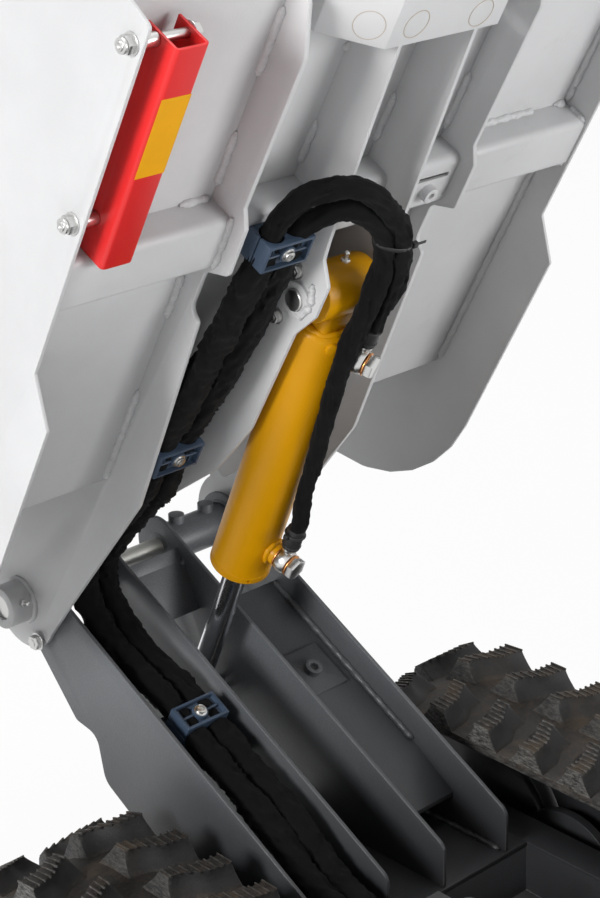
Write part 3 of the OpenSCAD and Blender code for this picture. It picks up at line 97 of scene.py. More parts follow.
class CarrierColours(bpy.types.PropertyGroup):
    """Colours of the finishes."""

    grey: bpy.props.FloatVectorProperty(
        name="Grey", description="Paint of the skip and hood", default=(0.60, 0.60, 0.605),
        subtype="COLOR", min=0, max=1)
    dark: bpy.props.FloatVectorProperty(
        name="Dark", description="Paint of the tower and chassis", default=(0.122, 0.129, 0.138),
        subtype="COLOR", min=0, max=1)
    yellow: bpy.props.FloatVectorProperty(
        name="Yellow", description="Paint of the cylinder", default=(0.62, 0.285, 0.0),
        subtype="COLOR", min=0, max=1)
    red: bpy.props.FloatVectorProperty(
        name="Red", description="Paint of the safety strut", default=(0.66, 0.016, 0.016),
        subtype="COLOR", min=0, max=1)
    label: bpy.props.FloatVectorProperty(
        name="Label", description="The plain sticker on the strut", default=(0.80, 0.37, 0.0),
        subtype="COLOR", min=0, max=1)
    rubber: bpy.props.FloatVectorProperty(
        name="Rubber", description="Rubber of the tracks", default=(0.014, 0.014, 0.0145),
        subtype="COLOR", min=0, max=1)
    dust: bpy.props.FloatVectorProperty(
        name="Dust", description="Dry soil on the tracks", default=(0.150, 0.108, 0.070),
        subtype="COLOR", min=0, max=1)
    sleeve: bpy.props.FloatVectorProperty(
        name="Sleeve", description="Woven sleeve of the hoses", default=(0.0036, 0.0036, 0.0040),
        subtype="COLOR", min=0, max=1)
    clamp: bpy.props.FloatVectorProperty(
        name="Clamp", description="Plastic of the hose clamps", default=(0.044, 0.068, 0.108),
        subtype="COLOR", min=0, max=1)
    plastic: bpy.props.FloatVectorProperty(
        name="Plastic", description="Knobs, tank and grips", default=(0.016, 0.016, 0.017),
        subtype="COLOR", min=0, max=1)
    steel: bpy.props.FloatVectorProperty(
        name="Steel", description="Plated bolts, nuts and pins", default=(0.62, 0.62, 0.61),
        subtype="COLOR", min=0, max=1)
    iron: bpy.props.FloatVectorProperty(
        name="Iron", description="Engine, motors and valves", default=(0.075, 0.075, 0.078),
        subtype="COLOR", min=0, max=1)


class Value:
    """A shader value; sums and products of values add Math nodes."""

    def __init__(self, finish, socket):
        self.finish = finish
        self.socket = socket

    def join(self, operation, first, second):
        return self.finish.add("ShaderNodeMath", {"operation": operation}, {0: first, 1: second})

    def __add__(self, other):
        return self.join("ADD", self, other)

    def __sub__(self, other):
        return self.join("SUBTRACT", self, other)

    def __rsub__(self, other):
        return self.join("SUBTRACT", other, self)

    def __mul__(self, other):
        return self.join("MULTIPLY", self, other)

    __radd__ = __add__
    __rmul__ = __mul__


class Finish:
    """A material that is being put together round its Principled shader."""

    def __init__(self, name, **constants):
        self.material = bpy.data.materials.new(name)
        self.material.use_nodes = True
        self.tree = self.material.node_tree
        self.shader = self.tree.nodes["Principled BSDF"]
        self.place = self.add("ShaderNodeTexCoord", output="Object")
        for socket, value in constants.items():
            self.shader.inputs[socket.replace("_", " ")].default_value = value

    def add(self, kind, settings=None, inputs=None, output=0):
        """Adds a node with its settings and inputs, and returns one of its outputs."""
        node = self.tree.nodes.new(kind)
        for key, value in (settings or {}).items():
            setattr(node, key, value)
        for key, value in (inputs or {}).items():
            self.feed(node.inputs[key], value)
        return Value(self, node.outputs[output])

    def feed(self, socket, value):
        """Links a value to a socket, or sets the socket's constant."""
        if isinstance(value, Value):
            self.tree.links.new(value.socket, socket)
        else:
            socket.default_value = value

    def set(self, socket, value):
        self.feed(self.shader.inputs[socket], value)

    def noise(self, scale, detail=4.0, roughness=0.55, at=None):
        return self.add("ShaderNodeTexNoise", None, {
            "Vector": at or self.place, "Scale": scale, "Detail": detail, "Roughness": roughness})

    def stretched(self, scale):
        """The place on the piece, scaled by its own factor along each axis."""
        return self.add("ShaderNodeMapping", None, {"Vector": self.place, "Scale": scale})

    def between(self, value, low, high):
        """0 below low, 1 above high, smooth between."""
        return self.add("ShaderNodeMapRange", {"interpolation_type": "SMOOTHSTEP"}, {
            "Value": value, "From Min": low, "From Max": high})

    def mix(self, factor, first, second):
        """A colour between two others."""
        return self.add("ShaderNodeMix", {"data_type": "RGBA"}, {
            0: factor, 6: first, 7: second}, output=2)

    def bump(self, height, depth, strength=1.0):
        """Raises the surface by up to depth metres where height is 1."""
        self.set("Normal", self.add("ShaderNodeBump", None, {
            "Height": height, "Distance": depth, "Strength": strength}))


def rgba(colour, light=1.0):
    """A property's colour, lighter or darker, as a socket's value."""
    return (*(min(1.0, c * light) for c in colour), 1.0)


# the second colour is painted shade: the near-black that paint darkens to near the ground, standing in for less
# light there
GRIME, LOW_SHADE, OIL_MARK = (0.10, 0.085, 0.065), (0.012, 0.012, 0.013), (0.016, 0.014, 0.012)
OLD_GREASE, SCRATCHED_YELLOW, SCUFFED_VINYL = (0.085, 0.045, 0.012), (0.30, 0.16, 0.02), (0.30, 0.16, 0.03)
SCUFFED_RUBBER, RUST_STAIN, PRIMER = (0.17, 0.165, 0.155), (0.20, 0.14, 0.09), (0.44, 0.38, 0.32)
CHROME, GROUND_STEEL, COPPER = (0.80, 0.81, 0.83), (0.78, 0.78, 0.74), (0.72, 0.33, 0.12)
# heights above the ground, in metres, between which the painted shade low down thins out
SHADE_FULL, SHADE_GONE = 0.26, 0.60


def painted_sheet(name, colour, roughness, peel, speckle, grime, low_shade=0.0):
    """Sprayed paint on sheet metal: peel, clouds, speckle, a little grime and painted shade that darkens it low
    down.
    """
    paint = Finish(name, Specular_IOR_Level=0.45)
    cloud = paint.between(paint.noise(5.0, 5.0), 0.3, 0.75)
    fine = paint.noise(900.0, 2.0)
    smear = paint.between(paint.noise(16.0, 8.0, 0.7), 0.58, 0.80)
    tone = paint.mix(cloud, rgba(colour, 0.94), rgba(colour, 1.05))
    tone = paint.mix(paint.between(fine, 0.42, 0.66) * speckle, tone, rgba(colour, 1.9))
    tone = paint.mix(smear * grime, tone, rgba(GRIME))
    height = paint.add("ShaderNodeSeparateXYZ", None, {0: paint.place}, "Z")
    # painted shade: the paint darkens towards the ground, in place of it being lit less there
    tone = paint.mix(low_shade * (1 - paint.between(height, SHADE_FULL, SHADE_GONE)), tone, rgba(LOW_SHADE))
    paint.set("Base Color", tone)
    paint.set("Roughness", roughness + 0.10 * cloud + 0.12 * smear)
    paint.bump(paint.noise(420.0, 2.0) + 0.6 * paint.noise(60.0, 2.0), peel)
    return paint.material


def yellow_paint(colours):
    """Gloss paint of the cylinder, with rubbed grime and small scratches."""
    paint = Finish("yellow_gloss_paint", Specular_IOR_Level=0.22, Coat_Weight=0.03, Coat_Roughness=0.15)
    along = paint.stretched((30.0, 4.0, 30.0))
    scratch = paint.between(paint.noise(14.0, 8.0, 0.7, along), 0.66, 0.74)
    from_pin = paint.add("ShaderNodeVectorMath", {"operation": "DISTANCE"},
                         {0: paint.place, 1: BARREL_PIN}, "Value")
    oily = 1 - paint.between(from_pin, 0.03, 0.075)
    grime = paint.between(paint.noise(11.0, 8.0, 0.72) + 0.12 * oily, 0.60, 0.82)
    cloud = paint.noise(7.0, 4.0)
    tone = paint.mix(cloud, rgba(colours.yellow, 0.88), rgba(colours.yellow, 1.10))
    tone = paint.mix(grime * 0.62, tone, rgba(OLD_GREASE))
    tone = paint.mix(scratch * 0.35, tone, rgba(SCRATCHED_YELLOW))
    paint.set("Base Color", tone)
    paint.set("Roughness", 0.33 + 0.12 * cloud + 0.20 * grime)
    paint.bump(paint.noise(420.0, 2.0) + 0.5 * cloud, 0.00020)
    return paint.material


def track_rubber(colours):
    """Moulded black rubber: dry soil in hollows and on the tops, and scuffed, paler ends and edges."""
    rubber = Finish("track_rubber", Specular_IOR_Level=0.22)
    patch = rubber.between(rubber.noise(14.0, 8.0, 0.7), 0.48, 0.70)
    grit = rubber.noise(240.0, 6.0, 0.75)
    soil = rubber.add("ShaderNodeAttribute", {"attribute_name": "soil"}, output=2)
    scuff = rubber.add("ShaderNodeAttribute", {"attribute_name": "scuff"}, output=2)
    amount = 0.10 * patch * grit + soil * rubber.between(grit + 0.45 * patch, 0.34, 0.84)
    tone = rubber.mix(grit, rgba(colours.rubber, 0.75), rgba(colours.rubber, 1.7))
    tone = rubber.mix(amount, tone, rgba(colours.dust))
    streaks = rubber.noise(320.0, 5.0, 0.8, rubber.stretched((1.0, 0.3, 1.0)))
    worn = scuff * rubber.between(streaks, 0.38, 0.66)
    rubber.set("Base Color", rubber.mix(worn, tone, rgba(SCUFFED_RUBBER)))
    rubber.set("Roughness", 0.50 + 0.32 * amount + 0.10 * grit)
    rubber.bump(rubber.noise(700.0, 4.0) + 1.2 * rubber.noise(80.0, 5.0, 0.7), 0.0005)
    return rubber.material


def woven_sleeve(colours):
    """Woven textile sleeve: a plain weave that follows the hose, dull with a faint sheen."""
    cloth = Finish("woven_sleeve", Specular_IOR_Level=0.09, Sheen_Weight=0.035, Sheen_Roughness=0.5)
    threads = {"Vector": cloth.add("ShaderNodeUVMap"), "Distortion": 0.3}
    warp = cloth.add("ShaderNodeTexWave", {"bands_direction": "X"}, {**threads, "Scale": 420.0})
    weft = cloth.add("ShaderNodeTexWave", {"bands_direction": "Y"}, {**threads, "Scale": 340.0})
    worn = cloth.between(cloth.noise(26.0, 6.0, 0.7), 0.45, 0.78)
    weave = warp * weft
    tone = cloth.mix(weave, rgba(colours.sleeve, 0.7), rgba(colours.sleeve, 1.7))
    cloth.set("Base Color", cloth.mix(worn * 0.30, tone, rgba(colours.sleeve, 2.6)))
    cloth.set("Roughness", 0.72 + 0.18 * weave)
    cloth.bump(0.3 * weave + cloth.noise(70.0, 5.0), 0.0010, 0.8)
    return cloth.material


def bare_metal(name, colour, roughness, brush, stain, depth=0.00004):
    """Plated or polished metal with fine brushing and faint stains."""
    metal = Finish(name, Metallic=1.0)
    grain = metal.noise(220.0, 3.0, 0.6, metal.stretched(brush))
    mark = metal.between(metal.noise(30.0, 7.0, 0.7), 0.52, 0.80)
    tone = metal.mix(grain, rgba(colour, 0.90), rgba(colour, 1.08))
    metal.set("Base Color", metal.mix(mark * stain, tone, rgba(RUST_STAIN)))
    metal.set("Roughness", roughness + 0.10 * grain + 0.25 * stain * mark)
    metal.bump(grain, depth)
    return metal.material


def moulded_plastic(name, colour, roughness, texture):
    """Moulded plastic with a fine grain and rubbed, slightly paler patches."""
    plastic = Finish(name, Specular_IOR_Level=0.4)
    rubbed = plastic.between(plastic.noise(34.0, 6.0, 0.65), 0.48, 0.75)
    grain = plastic.noise(1300.0, 3.0)
    tone = plastic.mix(grain, rgba(colour, 0.85), rgba(colour, 1.2))
    plastic.set("Base Color", plastic.mix(rubbed * 0.35, tone, rgba(colour, 1.7)))
    plastic.set("Roughness", roughness + 0.15 * rubbed)
    plastic.bump(grain + 0.5 * rubbed, texture)
    return plastic.material


def cast_metal(colours):
    """Sand-cast metal with a rough skin, oil marks and dust."""
    cast = Finish("cast_metal", Metallic=0.55)
    skin = cast.noise(380.0, 5.0, 0.65)
    oil = cast.between(cast.noise(12.0, 7.0, 0.7), 0.52, 0.75)
    tone = cast.mix(skin, rgba(colours.iron, 0.75), rgba(colours.iron, 1.35))
    cast.set("Base Color", cast.mix(oil * 0.6, tone, rgba(OIL_MARK)))
    cast.set("Roughness", 0.62 - 0.22 * oil + 0.1 * skin)
    cast.bump(skin, 0.0004)
    return cast.material


def sticker_vinyl(colours):
    """Plain vinyl of the bare label place, a little faded and scuffed."""
    vinyl = Finish("sticker_vinyl", Specular_IOR_Level=0.25)
    fade = vinyl.noise(40.0, 5.0)
    scuff = vinyl.between(vinyl.noise(150.0, 6.0, 0.7), 0.62, 0.74)
    tone = vinyl.mix(fade, rgba(colours.label, 0.92), rgba(colours.label, 1.06))
    vinyl.set("Base Color", vinyl.mix(scuff * 0.25, tone, rgba(SCUFFED_VINYL)))
    vinyl.set("Roughness", 0.36 + 0.15 * fade)
    vinyl.bump(fade, 0.0001)
    return vinyl.material


def make_finishes(colours):
    """All finishes by name; most carry the name of the record's material slot."""
    return {
        "grey_paint": painted_sheet("grey_paint", colours.grey, 0.40, 0.00010, 0.02, 0.10),
        # the dark paint's last value is the strength of its painted shade low down
        "dark_paint": painted_sheet("dark_paint", colours.dark, 0.38, 0.00022, 0.34, 0.10, 0.94),
        "red_paint": painted_sheet("red_paint", colours.red, 0.34, 0.00010, 0.03, 0.06),
        "yellow_paint": yellow_paint(colours),
        "track_rubber": track_rubber(colours),
        "hose_sleeve": woven_sleeve(colours),
        "clamp_plastic": moulded_plastic("clamp_plastic", colours.clamp, 0.42, 0.00010),
        "black_plastic": moulded_plastic("black_plastic", colours.plastic, 0.48, 0.00022),
        "plated_steel": bare_metal("plated_steel", colours.steel, 0.24, (1.0, 6.0, 1.0), 0.18),
        "chromed_rod": bare_metal("chromed_rod", CHROME, 0.14, (1.0, 8.0, 8.0), 0.05, 0.000004),
        "machine_iron": cast_metal(colours),
        "sticker": sticker_vinyl(colours),
        "pin_steel": bare_metal("pin_steel", GROUND_STEEL, 0.50, (6.0, 1.0, 1.0), 0.3),
        "copper": bare_metal("copper", COPPER, 0.30, (1.0, 1.0, 1.0), 0.2),
        "primer": painted_sheet("primer", PRIMER, 0.55, 0.0002, 0.1, 0.1),
    }


FINISHES = {}


def start():
    """Object mode with nothing selected."""
    if bpy.context.object and bpy.context.object.mode != "OBJECT":
        bpy.ops.object.mode_set(mode="OBJECT")
    bpy.ops.object.select_all(action="DESELECT")


def pick(piece):
    """Makes a piece the only selected and active one."""
    start()
    piece.hide_set(False)
    piece.select_set(True)
    bpy.context.view_layer.objects.active = piece


def settled():
    """The piece just made or moved, with its place applied to its mesh."""
    bpy.ops.object.transform_apply(location=True, rotation=True, scale=True)
    return bpy.context.object


def put(piece, matrix):
    """Moves a piece by a matrix and applies its place to its mesh."""
    pick(piece)
    piece.matrix_world = matrix @ piece.matrix_world
    return settled()


def block(size, at, bevel=0.0, segments=2):
    """A box of a size in mm, centred on a point in mm, with rounded edges."""
    start()
    bpy.ops.mesh.primitive_cube_add(size=1, location=Vector(at) * MM, scale=Vector(size) * MM)
    piece = settled()
    if bevel:
        edit_all(piece)
        bpy.ops.mesh.bevel(offset=bevel * MM, segments=segments, affect="EDGES")
        leave()
    return piece


def round_bar(first, last, radius, bevel=0.0, sides=32):
    """A bar between two points in mm, with rounded end edges; 6 sides make a hexagon."""
    start()
    first, last = Vector(first) * MM, Vector(last) * MM
    run = last - first
    bpy.ops.mesh.primitive_cylinder_add(vertices=sides, radius=radius * MM, depth=run.length,
                                        location=(first + last) / 2,
                                        rotation=run.to_track_quat("Z", "X").to_euler())
    piece = settled()
    if bevel:
        for out in (run.normalized(), -run.normalized()):
            round_end(piece, out, bevel)
    return piece


def edit(piece, kind, chosen):
    """Enters edit mode with only those edges or faces selected that a test chooses."""
    pick(piece)
    mesh = piece.data
    bpy.context.tool_settings.mesh_select_mode = (False, kind == "EDGE", kind == "FACE")
    for parts in (mesh.vertices, mesh.edges, mesh.polygons):
        parts.foreach_set("select", [False] * len(parts))
    for part in mesh.edges if kind == "EDGE" else mesh.polygons:
        part.select = chosen(part)
    bpy.ops.object.mode_set(mode="EDIT")


def edit_all(piece):
    """Enters edit mode with the whole piece selected."""
    pick(piece)
    bpy.ops.object.mode_set(mode="EDIT")
    bpy.ops.mesh.select_all(action="SELECT")


def leave():
    """Leaves edit mode."""
    bpy.ops.object.mode_set(mode="OBJECT")


def modify(piece, kind, **settings):
    """Adds a modifier with its settings to a piece and applies it."""
    pick(piece)
    modifier = piece.modifiers.new(kind.lower(), kind)
    for key, value in settings.items():
        setattr(modifier, key, value)
    bpy.ops.object.modifier_apply(modifier=modifier.name)


def edit_long_edges(piece, along, least):
    """Enters edit mode with the edges selected that run along a direction and have a least length."""
    points = piece.data.vertices

    def chosen(edge):
        run = points[edge.vertices[1]].co - points[edge.vertices[0]].co
        return run.length > least and abs(run.normalized().dot(along)) > 0.9
    edit(piece, "EDGE", chosen)


def round_end(piece, out, bevel, segments=2):
    """Rounds the edge of the end face that looks out along a direction."""
    face = max(piece.data.polygons, key=lambda f: (round(f.normal.dot(out), 3), f.area))
    ends = set(face.edge_keys)
    edit(piece, "EDGE", lambda edge: edge.key in ends)
    bpy.ops.mesh.bevel(offset=bevel * MM, segments=segments, affect="EDGES")
    leave()


def bead(first, last, radius):
    """A straight weld bead between two points in mm, rippled along its run and narrow at its ends."""
    step = 1.5
    first, last = Vector(first), Vector(last)
    run = last - first
    piece = round_bar(first, last, radius / MM, sides=12)
    edit_long_edges(piece, run.normalized(), 0.9 * run.length * MM)
    bpy.ops.mesh.subdivide(number_cuts=max(2, int(run.length / step)))
    leave()
    for point in piece.data.vertices:
        done = (point.co / MM - first).dot(run.normalized())
        middle = (first + done * run.normalized()) * MM
        width = 1 + 0.09 * math.cos(1.35 * done) + 0.12 * math.sin(0.31 * done + first.y)
        width *= min(1.0, 0.35 + 0.13 * min(done, run.length - done))
        point.co = middle + width * (point.co - middle)
    return piece


def ball(at, radius, segments=20):
    """A ball round a point in mm."""
    start()
    bpy.ops.mesh.primitive_uv_sphere_add(segments=segments, ring_count=segments // 2, radius=radius * MM,
                                         location=Vector(at) * MM)
    return settled()


def hoop(at, axis, radius, thick, sides=12):
    """A ring of round section round an axis."""
    start()
    bpy.ops.mesh.primitive_torus_add(major_segments=48, minor_segments=sides, major_radius=radius * MM,
                                     minor_radius=thick * MM, location=Vector(at) * MM,
                                     rotation=Vector(axis).to_track_quat("Z", "X").to_euler())
    return settled()


def cut(piece, *tools):
    """Takes the tools' shapes out of a piece."""
    for tool in tools:
        modify(piece, "BOOLEAN", object=tool, solver="EXACT")
        bpy.data.objects.remove(tool)
    return piece


def joined(pieces):
    """Several pieces as one."""
    pick(pieces[0])
    for piece in pieces:
        piece.select_set(True)
    bpy.ops.object.join()
    return bpy.context.object


def copied(piece):
    """A copy of a piece with its own mesh."""
    pick(piece)
    bpy.ops.object.duplicate()
    return bpy.context.object


def rounded_edges(piece, width, segments=2, angle=35):
    """Rounds the sharp edges of a piece with a bevel modifier."""
    modify(piece, "BEVEL", width=width, segments=segments, limit_method="ANGLE",
           angle_limit=math.radians(angle))


def finished(piece, name, body, slot, nodes=(), finish=None, smooth=35):
    """Names a piece, smooths it, gives it its finish and lets it ride on its body."""
    pick(piece)
    piece.name = name
    piece.data.name = name
    bpy.ops.object.shade_smooth_by_angle(angle=math.radians(smooth))
    piece.data.materials.clear()
    piece.data.materials.append(FINISHES[finish or slot])
    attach(piece, body)
    if nodes:
        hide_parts(*nodes)
    return piece


def softened(node, edge):
    """A copy of a CAD node with its flats joined and its edges rounded, which stands for it."""
    piece = copied(frame["nodes"][node])
    piece.parent = None
    for key in list(piece.keys()):
        del piece[key]
    edit_all(piece)
    bpy.ops.mesh.remove_doubles(threshold=0.01 * MM)
    bpy.ops.mesh.dissolve_limited(angle_limit=math.radians(0.5))
    leave()
    rounded_edges(piece, edge)
    return finished(piece, node + "_finished", BODY_OF[node], SLOT_OF[node], [node])


def sizes():
    return bpy.context.scene.carrier_sizes


def lumpy(piece, size, depth):
    """Gives a piece an uneven skin with lumps of a size and depth in metres."""
    clouds = bpy.data.textures.new("lumps", "CLOUDS")
    clouds.noise_scale = size
    modify(piece, "DISPLACE", texture=clouds, strength=depth, mid_level=0.5)
    bpy.data.textures.remove(clouds)
    return piece


# the kinds of rays that see the backdrop as white
SEEING_RAYS = ("Camera", "Glossy", "Transmission")
# name, place, aim, size in metres and power in watts
LAMPS = (
    ("key", (-5.0, -0.25, 2.7), (0.0, 0.4, 0.9), 1.5, 248),
    ("rear_right", (2.0, -4.7, 0.95), (0.0, 0.5, 0.8), 2.4, 200),
    ("top", (0.4, 0.2, 5.0), (0.0, 0.2, 0.4), 2.4, 90),
)
CAMERA_FROM_PIVOT = Vector((-1.5339, -1.9689, 1.1632))
CAMERA_RIGHT, CAMERA_BACK = Vector((0.7319, -0.6810, -0.0210)), Vector((-0.6304, -0.6886, 0.3583))
CAMERA_LENS, CAMERA_SHIFT = 89.23, (0.0125, -0.0601)


class CARRIER_OT_stage(bpy.types.Operator):
    """Makes the finishes, the pale floor, the soft lights and the camera"""

    bl_idname = "carrier.stage"
    bl_label = "Stage"

    def execute(self, context):
        FINISHES.update(make_finishes(context.scene.carrier_colours))
        self.floor()
        self.lights(context)
        self.camera(context)
        context.scene.view_settings.view_transform = "Standard"
        return {"FINISHED"}

    def floor(self):
        start()
        bpy.ops.mesh.primitive_plane_add(size=60)
        floor = bpy.context.object
        floor.name = "floor"
        pale = Finish("pale_floor", Roughness=0.9, Specular_IOR_Level=0.0)
        pale.set("Base Color", pale.mix(pale.noise(3.0), (0.86, 0.86, 0.86, 1), (0.90, 0.90, 0.90, 1)))
        rays = [pale.add("ShaderNodeLightPath", output="Is %s Ray" % kind) for kind in SEEING_RAYS]
        white = pale.add("ShaderNodeEmission", None, {"Color": (1, 1, 1, 1), "Strength": 1.0})
        shown = pale.add("ShaderNodeMixShader", None, {
            0: sum(rays) * 0.95, 1: Value(pale, pale.shader.outputs[0]), 2: white})
        pale.tree.links.new(shown.socket, pale.tree.nodes["Material Output"].inputs["Surface"])
        floor.data.materials.append(pale.material)

    def lights(self, context):
        world = bpy.data.worlds.new("studio")
        context.scene.world = world
        world.use_nodes = True
        nodes, links = world.node_tree.nodes, world.node_tree.links
        nodes["Background"].inputs["Color"].default_value = (0.94, 0.97, 1.0, 1)
        nodes["Background"].inputs["Strength"].default_value = 0.18
        backdrop = nodes.new("ShaderNodeBackground")
        path = nodes.new("ShaderNodeLightPath")
        shown = nodes.new("ShaderNodeMixShader")
        seen = path.outputs["Is %s Ray" % SEEING_RAYS[0]]
        for kind in SEEING_RAYS[1:]:
            either = nodes.new("ShaderNodeMath")
            either.operation = "MAXIMUM"
            links.new(seen, either.inputs[0])
            links.new(path.outputs["Is %s Ray" % kind], either.inputs[1])
            seen = either.outputs[0]
        links.new(seen, shown.inputs[0])
        links.new(nodes["Background"].outputs[0], shown.inputs[1])
        links.new(backdrop.outputs[0], shown.inputs[2])
        backdrop.inputs["Color"].default_value = (1, 1, 1, 1)
        links.new(shown.outputs[0], nodes["World Output"].inputs["Surface"])
        for name, at, aim, size, power in LAMPS:
            start()
            bpy.ops.object.light_add(type="AREA", location=at)
            lamp = bpy.context.object
            lamp.name = name
            lamp.data.size = size
            lamp.data.energy = power
            lamp.rotation_euler = (Vector(aim) - Vector(at)).to_track_quat("-Z", "Y").to_euler()

    def camera(self, context):
        start()
        bpy.ops.object.camera_add()
        camera = bpy.context.object
        up = CAMERA_BACK.cross(CAMERA_RIGHT)
        turn = Matrix((CAMERA_RIGHT, up, CAMERA_BACK)).transposed().to_4x4()
        camera.matrix_world = Matrix.Translation(PIVOT + CAMERA_FROM_PIVOT) @ turn
        camera.data.lens = CAMERA_LENS
        camera.data.shift_x, camera.data.shift_y = CAMERA_SHIFT
        context.scene.camera = camera


# Welds under the skip, in mm with the skip down. Along it: x and the distances back of each bead's ends.
FLOOR_UNDER = -53.5
LONG_WELDS = {
    -363: ((936, 676), (604, 270)), -167: ((904, 824), (757, 690), (573, 511), (404, 268)),
    -56: ((842, 832), (745, 690)), 49: ((757, 694), (640, 590)), 159: ((760, 685), (590, 520)),
    167: ((900, 820), (400, 280)), 363: ((936, 676), (604, 270)),
}
# across it, along the rear of the cross-member: the x of each bead's ends
CROSS_WELD_BACK, CROSS_WELD_HEIGHT = 674, -53
CROSS_WELDS = ((-330, -286), (-208, -170), (-158, -118), (57, 95), (206, 308), (342, 362))
# elsewhere: x and the distance back and height of each bead's ends
OTHER_WELDS = (
    (-167, (675, -87), (608, -87)), (-56, (588, -128), (565, -137)), (-56, (565, -137), (540, -126)),
    (49, (672, -60), (640, -86)), (159, (672, -60), (614, -87)), (363, (672, -60), (672, -86)),
    (363, (608, -60), (608, -86)),
)
# place and outward direction of each plug weld of the folded bracket
PLUG_WELDS = (
    ((-98, -903.6, -100), (-0.609, 0, -0.793)), ((-49, -906, -114), (0, 0, -1)),
    ((42, -902, -114), (0, 0, -1)),
)
BOSS_WELD_X = 167
# ends of the tower's beads, in mm from the pivot
TOWER_WELDS = (
    ((42, -50, -1), (42, -22, -84)), ((-42, -50, -1), (-42, -22, -84)),
    ((49, -100, -50), (49, -340, -177)), ((146, -100, -50), (146, -340, -177)),
    ((-146, -235, -267), (-146, -480, -267)), ((146, -235, -267), (146, -480, -267)),
    ((-49, -250, -267), (-49, -470, -267)), ((49, -250, -267), (49, -470, -267)),
)


def skip_point(x, s, n):
    """A point of the lowered skip, given as distance back and height."""
    return (x, -s, n)


class CARRIER_OT_skip(bpy.types.Operator):
    """Finishes the skip's sheets, beams and brackets, with their weld beads"""

    bl_idname = "carrier.skip"
    bl_label = "Skip"

    def execute(self, context):
        edge = sizes().edge
        for node in NODES["skip"]:
            if SLOT_OF[node] == "grey_paint":
                softened(node, edge)
        softened("barrel_pin", 2 * edge)
        self.welds()
        self.plug_welds()
        self.fasteners()
        return {"FINISHED"}

    def welds(self):
        radius = sizes().weld
        ends = [((x, a, FLOOR_UNDER), (x, b, FLOOR_UNDER)) for x, runs in LONG_WELDS.items() for a, b in runs]
        ends += [((a, CROSS_WELD_BACK, CROSS_WELD_HEIGHT), (b, CROSS_WELD_BACK, CROSS_WELD_HEIGHT))
                 for a, b in CROSS_WELDS]
        ends += [((x, *a), (x, *b)) for x, a, b in OTHER_WELDS]
        beads = [bead(skip_point(*a), skip_point(*b), radius) for a, b in ends]
        for x in (-BOSS_WELD_X, BOSS_WELD_X):
            beads.append(hoop((x, 0, 0), (1, 0, 0), 26.5, 3.4))
        piece = lumpy(joined(beads), 0.006, 0.0034)
        finished(put(piece, SKIP), "skip_welds", "skip", "grey_paint", smooth=60)

    def plug_welds(self):
        """The ground-flush plug welds of the folded bracket, as faint rings."""
        rings = [hoop(at, out, 15.5, 0.55, 6) for at, out in PLUG_WELDS]
        finished(put(joined(rings), SKIP), "plug_weld_marks", "skip", "grey_paint", finish="primer")

    def fasteners(self):
        """The bolts that keep the barrel pin, and the grease nipples of the pivot bosses."""
        bolts = [hex_head((-55, y, z), (-1, 0, 0), 7.5, 6) for y, z in ((-520, -101), (-586, -103))]
        for side in (-1, 1):
            bolts.append(hex_head((side * 170, 22, -48), (side, 0, 0), 9, 7))
            bolts += nipple((side * 183, -20, -17), (0, -0.75, -0.66))
        finished(put(joined(bolts), SKIP), "skip_bolts", "skip", "plated_steel")


def hex_head(at, out, radius, height):
    """A hexagon bolt head with its washer, on a face at a point, looking out along a direction."""
    at, out = Vector(at), Vector(out)
    washer = round_bar(at, at + 1.6 * out, radius * 1.22, 0.4)
    head = round_bar(at + 1.6 * out, at + (1.6 + height) * out, radius, 0.8, sides=6)
    end = round_bar(at + (1.6 + height) * out, at + (2.4 + height) * out, radius * 0.55, 0.4)
    return joined([head, washer, end])


def nipple(at, out):
    """A grease nipple: hexagon foot, neck and ball head."""
    at, out = Vector(at), Vector(out).normalized()
    foot = round_bar(at - 2 * out, at + 5 * out, 5.2, 0.6, sides=6)
    return [foot, round_bar(at + 5 * out, at + 10 * out, 2.4), ball(at + 11.5 * out, 3.2, 16)]


# faces of the inner and outer tower plates that the pivot tubes are welded to, and the pin's middle
PLATE_IN, PLATE_OUT = 48, 148
PIN_HALF, PIN_R, COLLAR_IN, COLLAR_OUT, COLLAR_R = 44, 11.2, 42.5, 45, 19
GUSSET_AT, GUSSET_TILT = Vector((0, -40, -4)), math.radians(-28)


class CARRIER_OT_tower(bpy.types.Operator):
    """Finishes the tower with its welds, the chassis, the running gear and the engine bay"""

    bl_idname = "carrier.tower"
    bl_label = "Tower and chassis"

    def execute(self, context):
        edge = sizes().edge
        for body, nodes in NODES.items():
            if body in ("skip", "barrel", "rod"):
                continue
            for node in nodes:
                if SLOT_OF[node] not in ("track_rubber", "hose_sleeve", "clamp_plastic"):
                    softened(node, edge)
        beads = [bead(a, b, 0.9 * sizes().weld) for a, b in TOWER_WELDS]
        for x in (-PLATE_OUT, -PLATE_IN, PLATE_IN, PLATE_OUT):
            beads.append(hoop((x, 0, 0), (1, 0, 0), 27.0, 2.6))
        piece = lumpy(joined(beads), 0.005, 0.0026)
        finished(put(piece, Matrix.Translation(PIVOT)), "tower_welds", "chassis", "dark_paint", smooth=60)
        self.pivot_middle()
        return {"FINISHED"}

    def pivot_middle(self):
        """The middle of the pivot pin with its bushes, and the gusset's upper edge below it."""
        place = Matrix.Translation(PIVOT)
        bar = put(round_bar((-PIN_HALF, 0, 0), (PIN_HALF, 0, 0), PIN_R, sides=40), place)
        finished(bar, "pin_middle", BODY_OF["skip_pivot_pin"], "plated_steel", finish="pin_steel")
        collars = [round_bar((side * COLLAR_IN, 0, 0), (side * COLLAR_OUT, 0, 0), COLLAR_R, 0.9, sides=40)
                   for side in (-1, 1)]
        lip = block((85, 5.6, 17), (0, -2.5, 5.5), 0.8, 2)
        lip = put(lip, Matrix.Translation(GUSSET_AT * MM) @ Matrix.Rotation(GUSSET_TILT, 4, "X"))
        finished(put(joined(collars + [lip]), place), "pin_bushes", "chassis", "dark_paint", smooth=40)


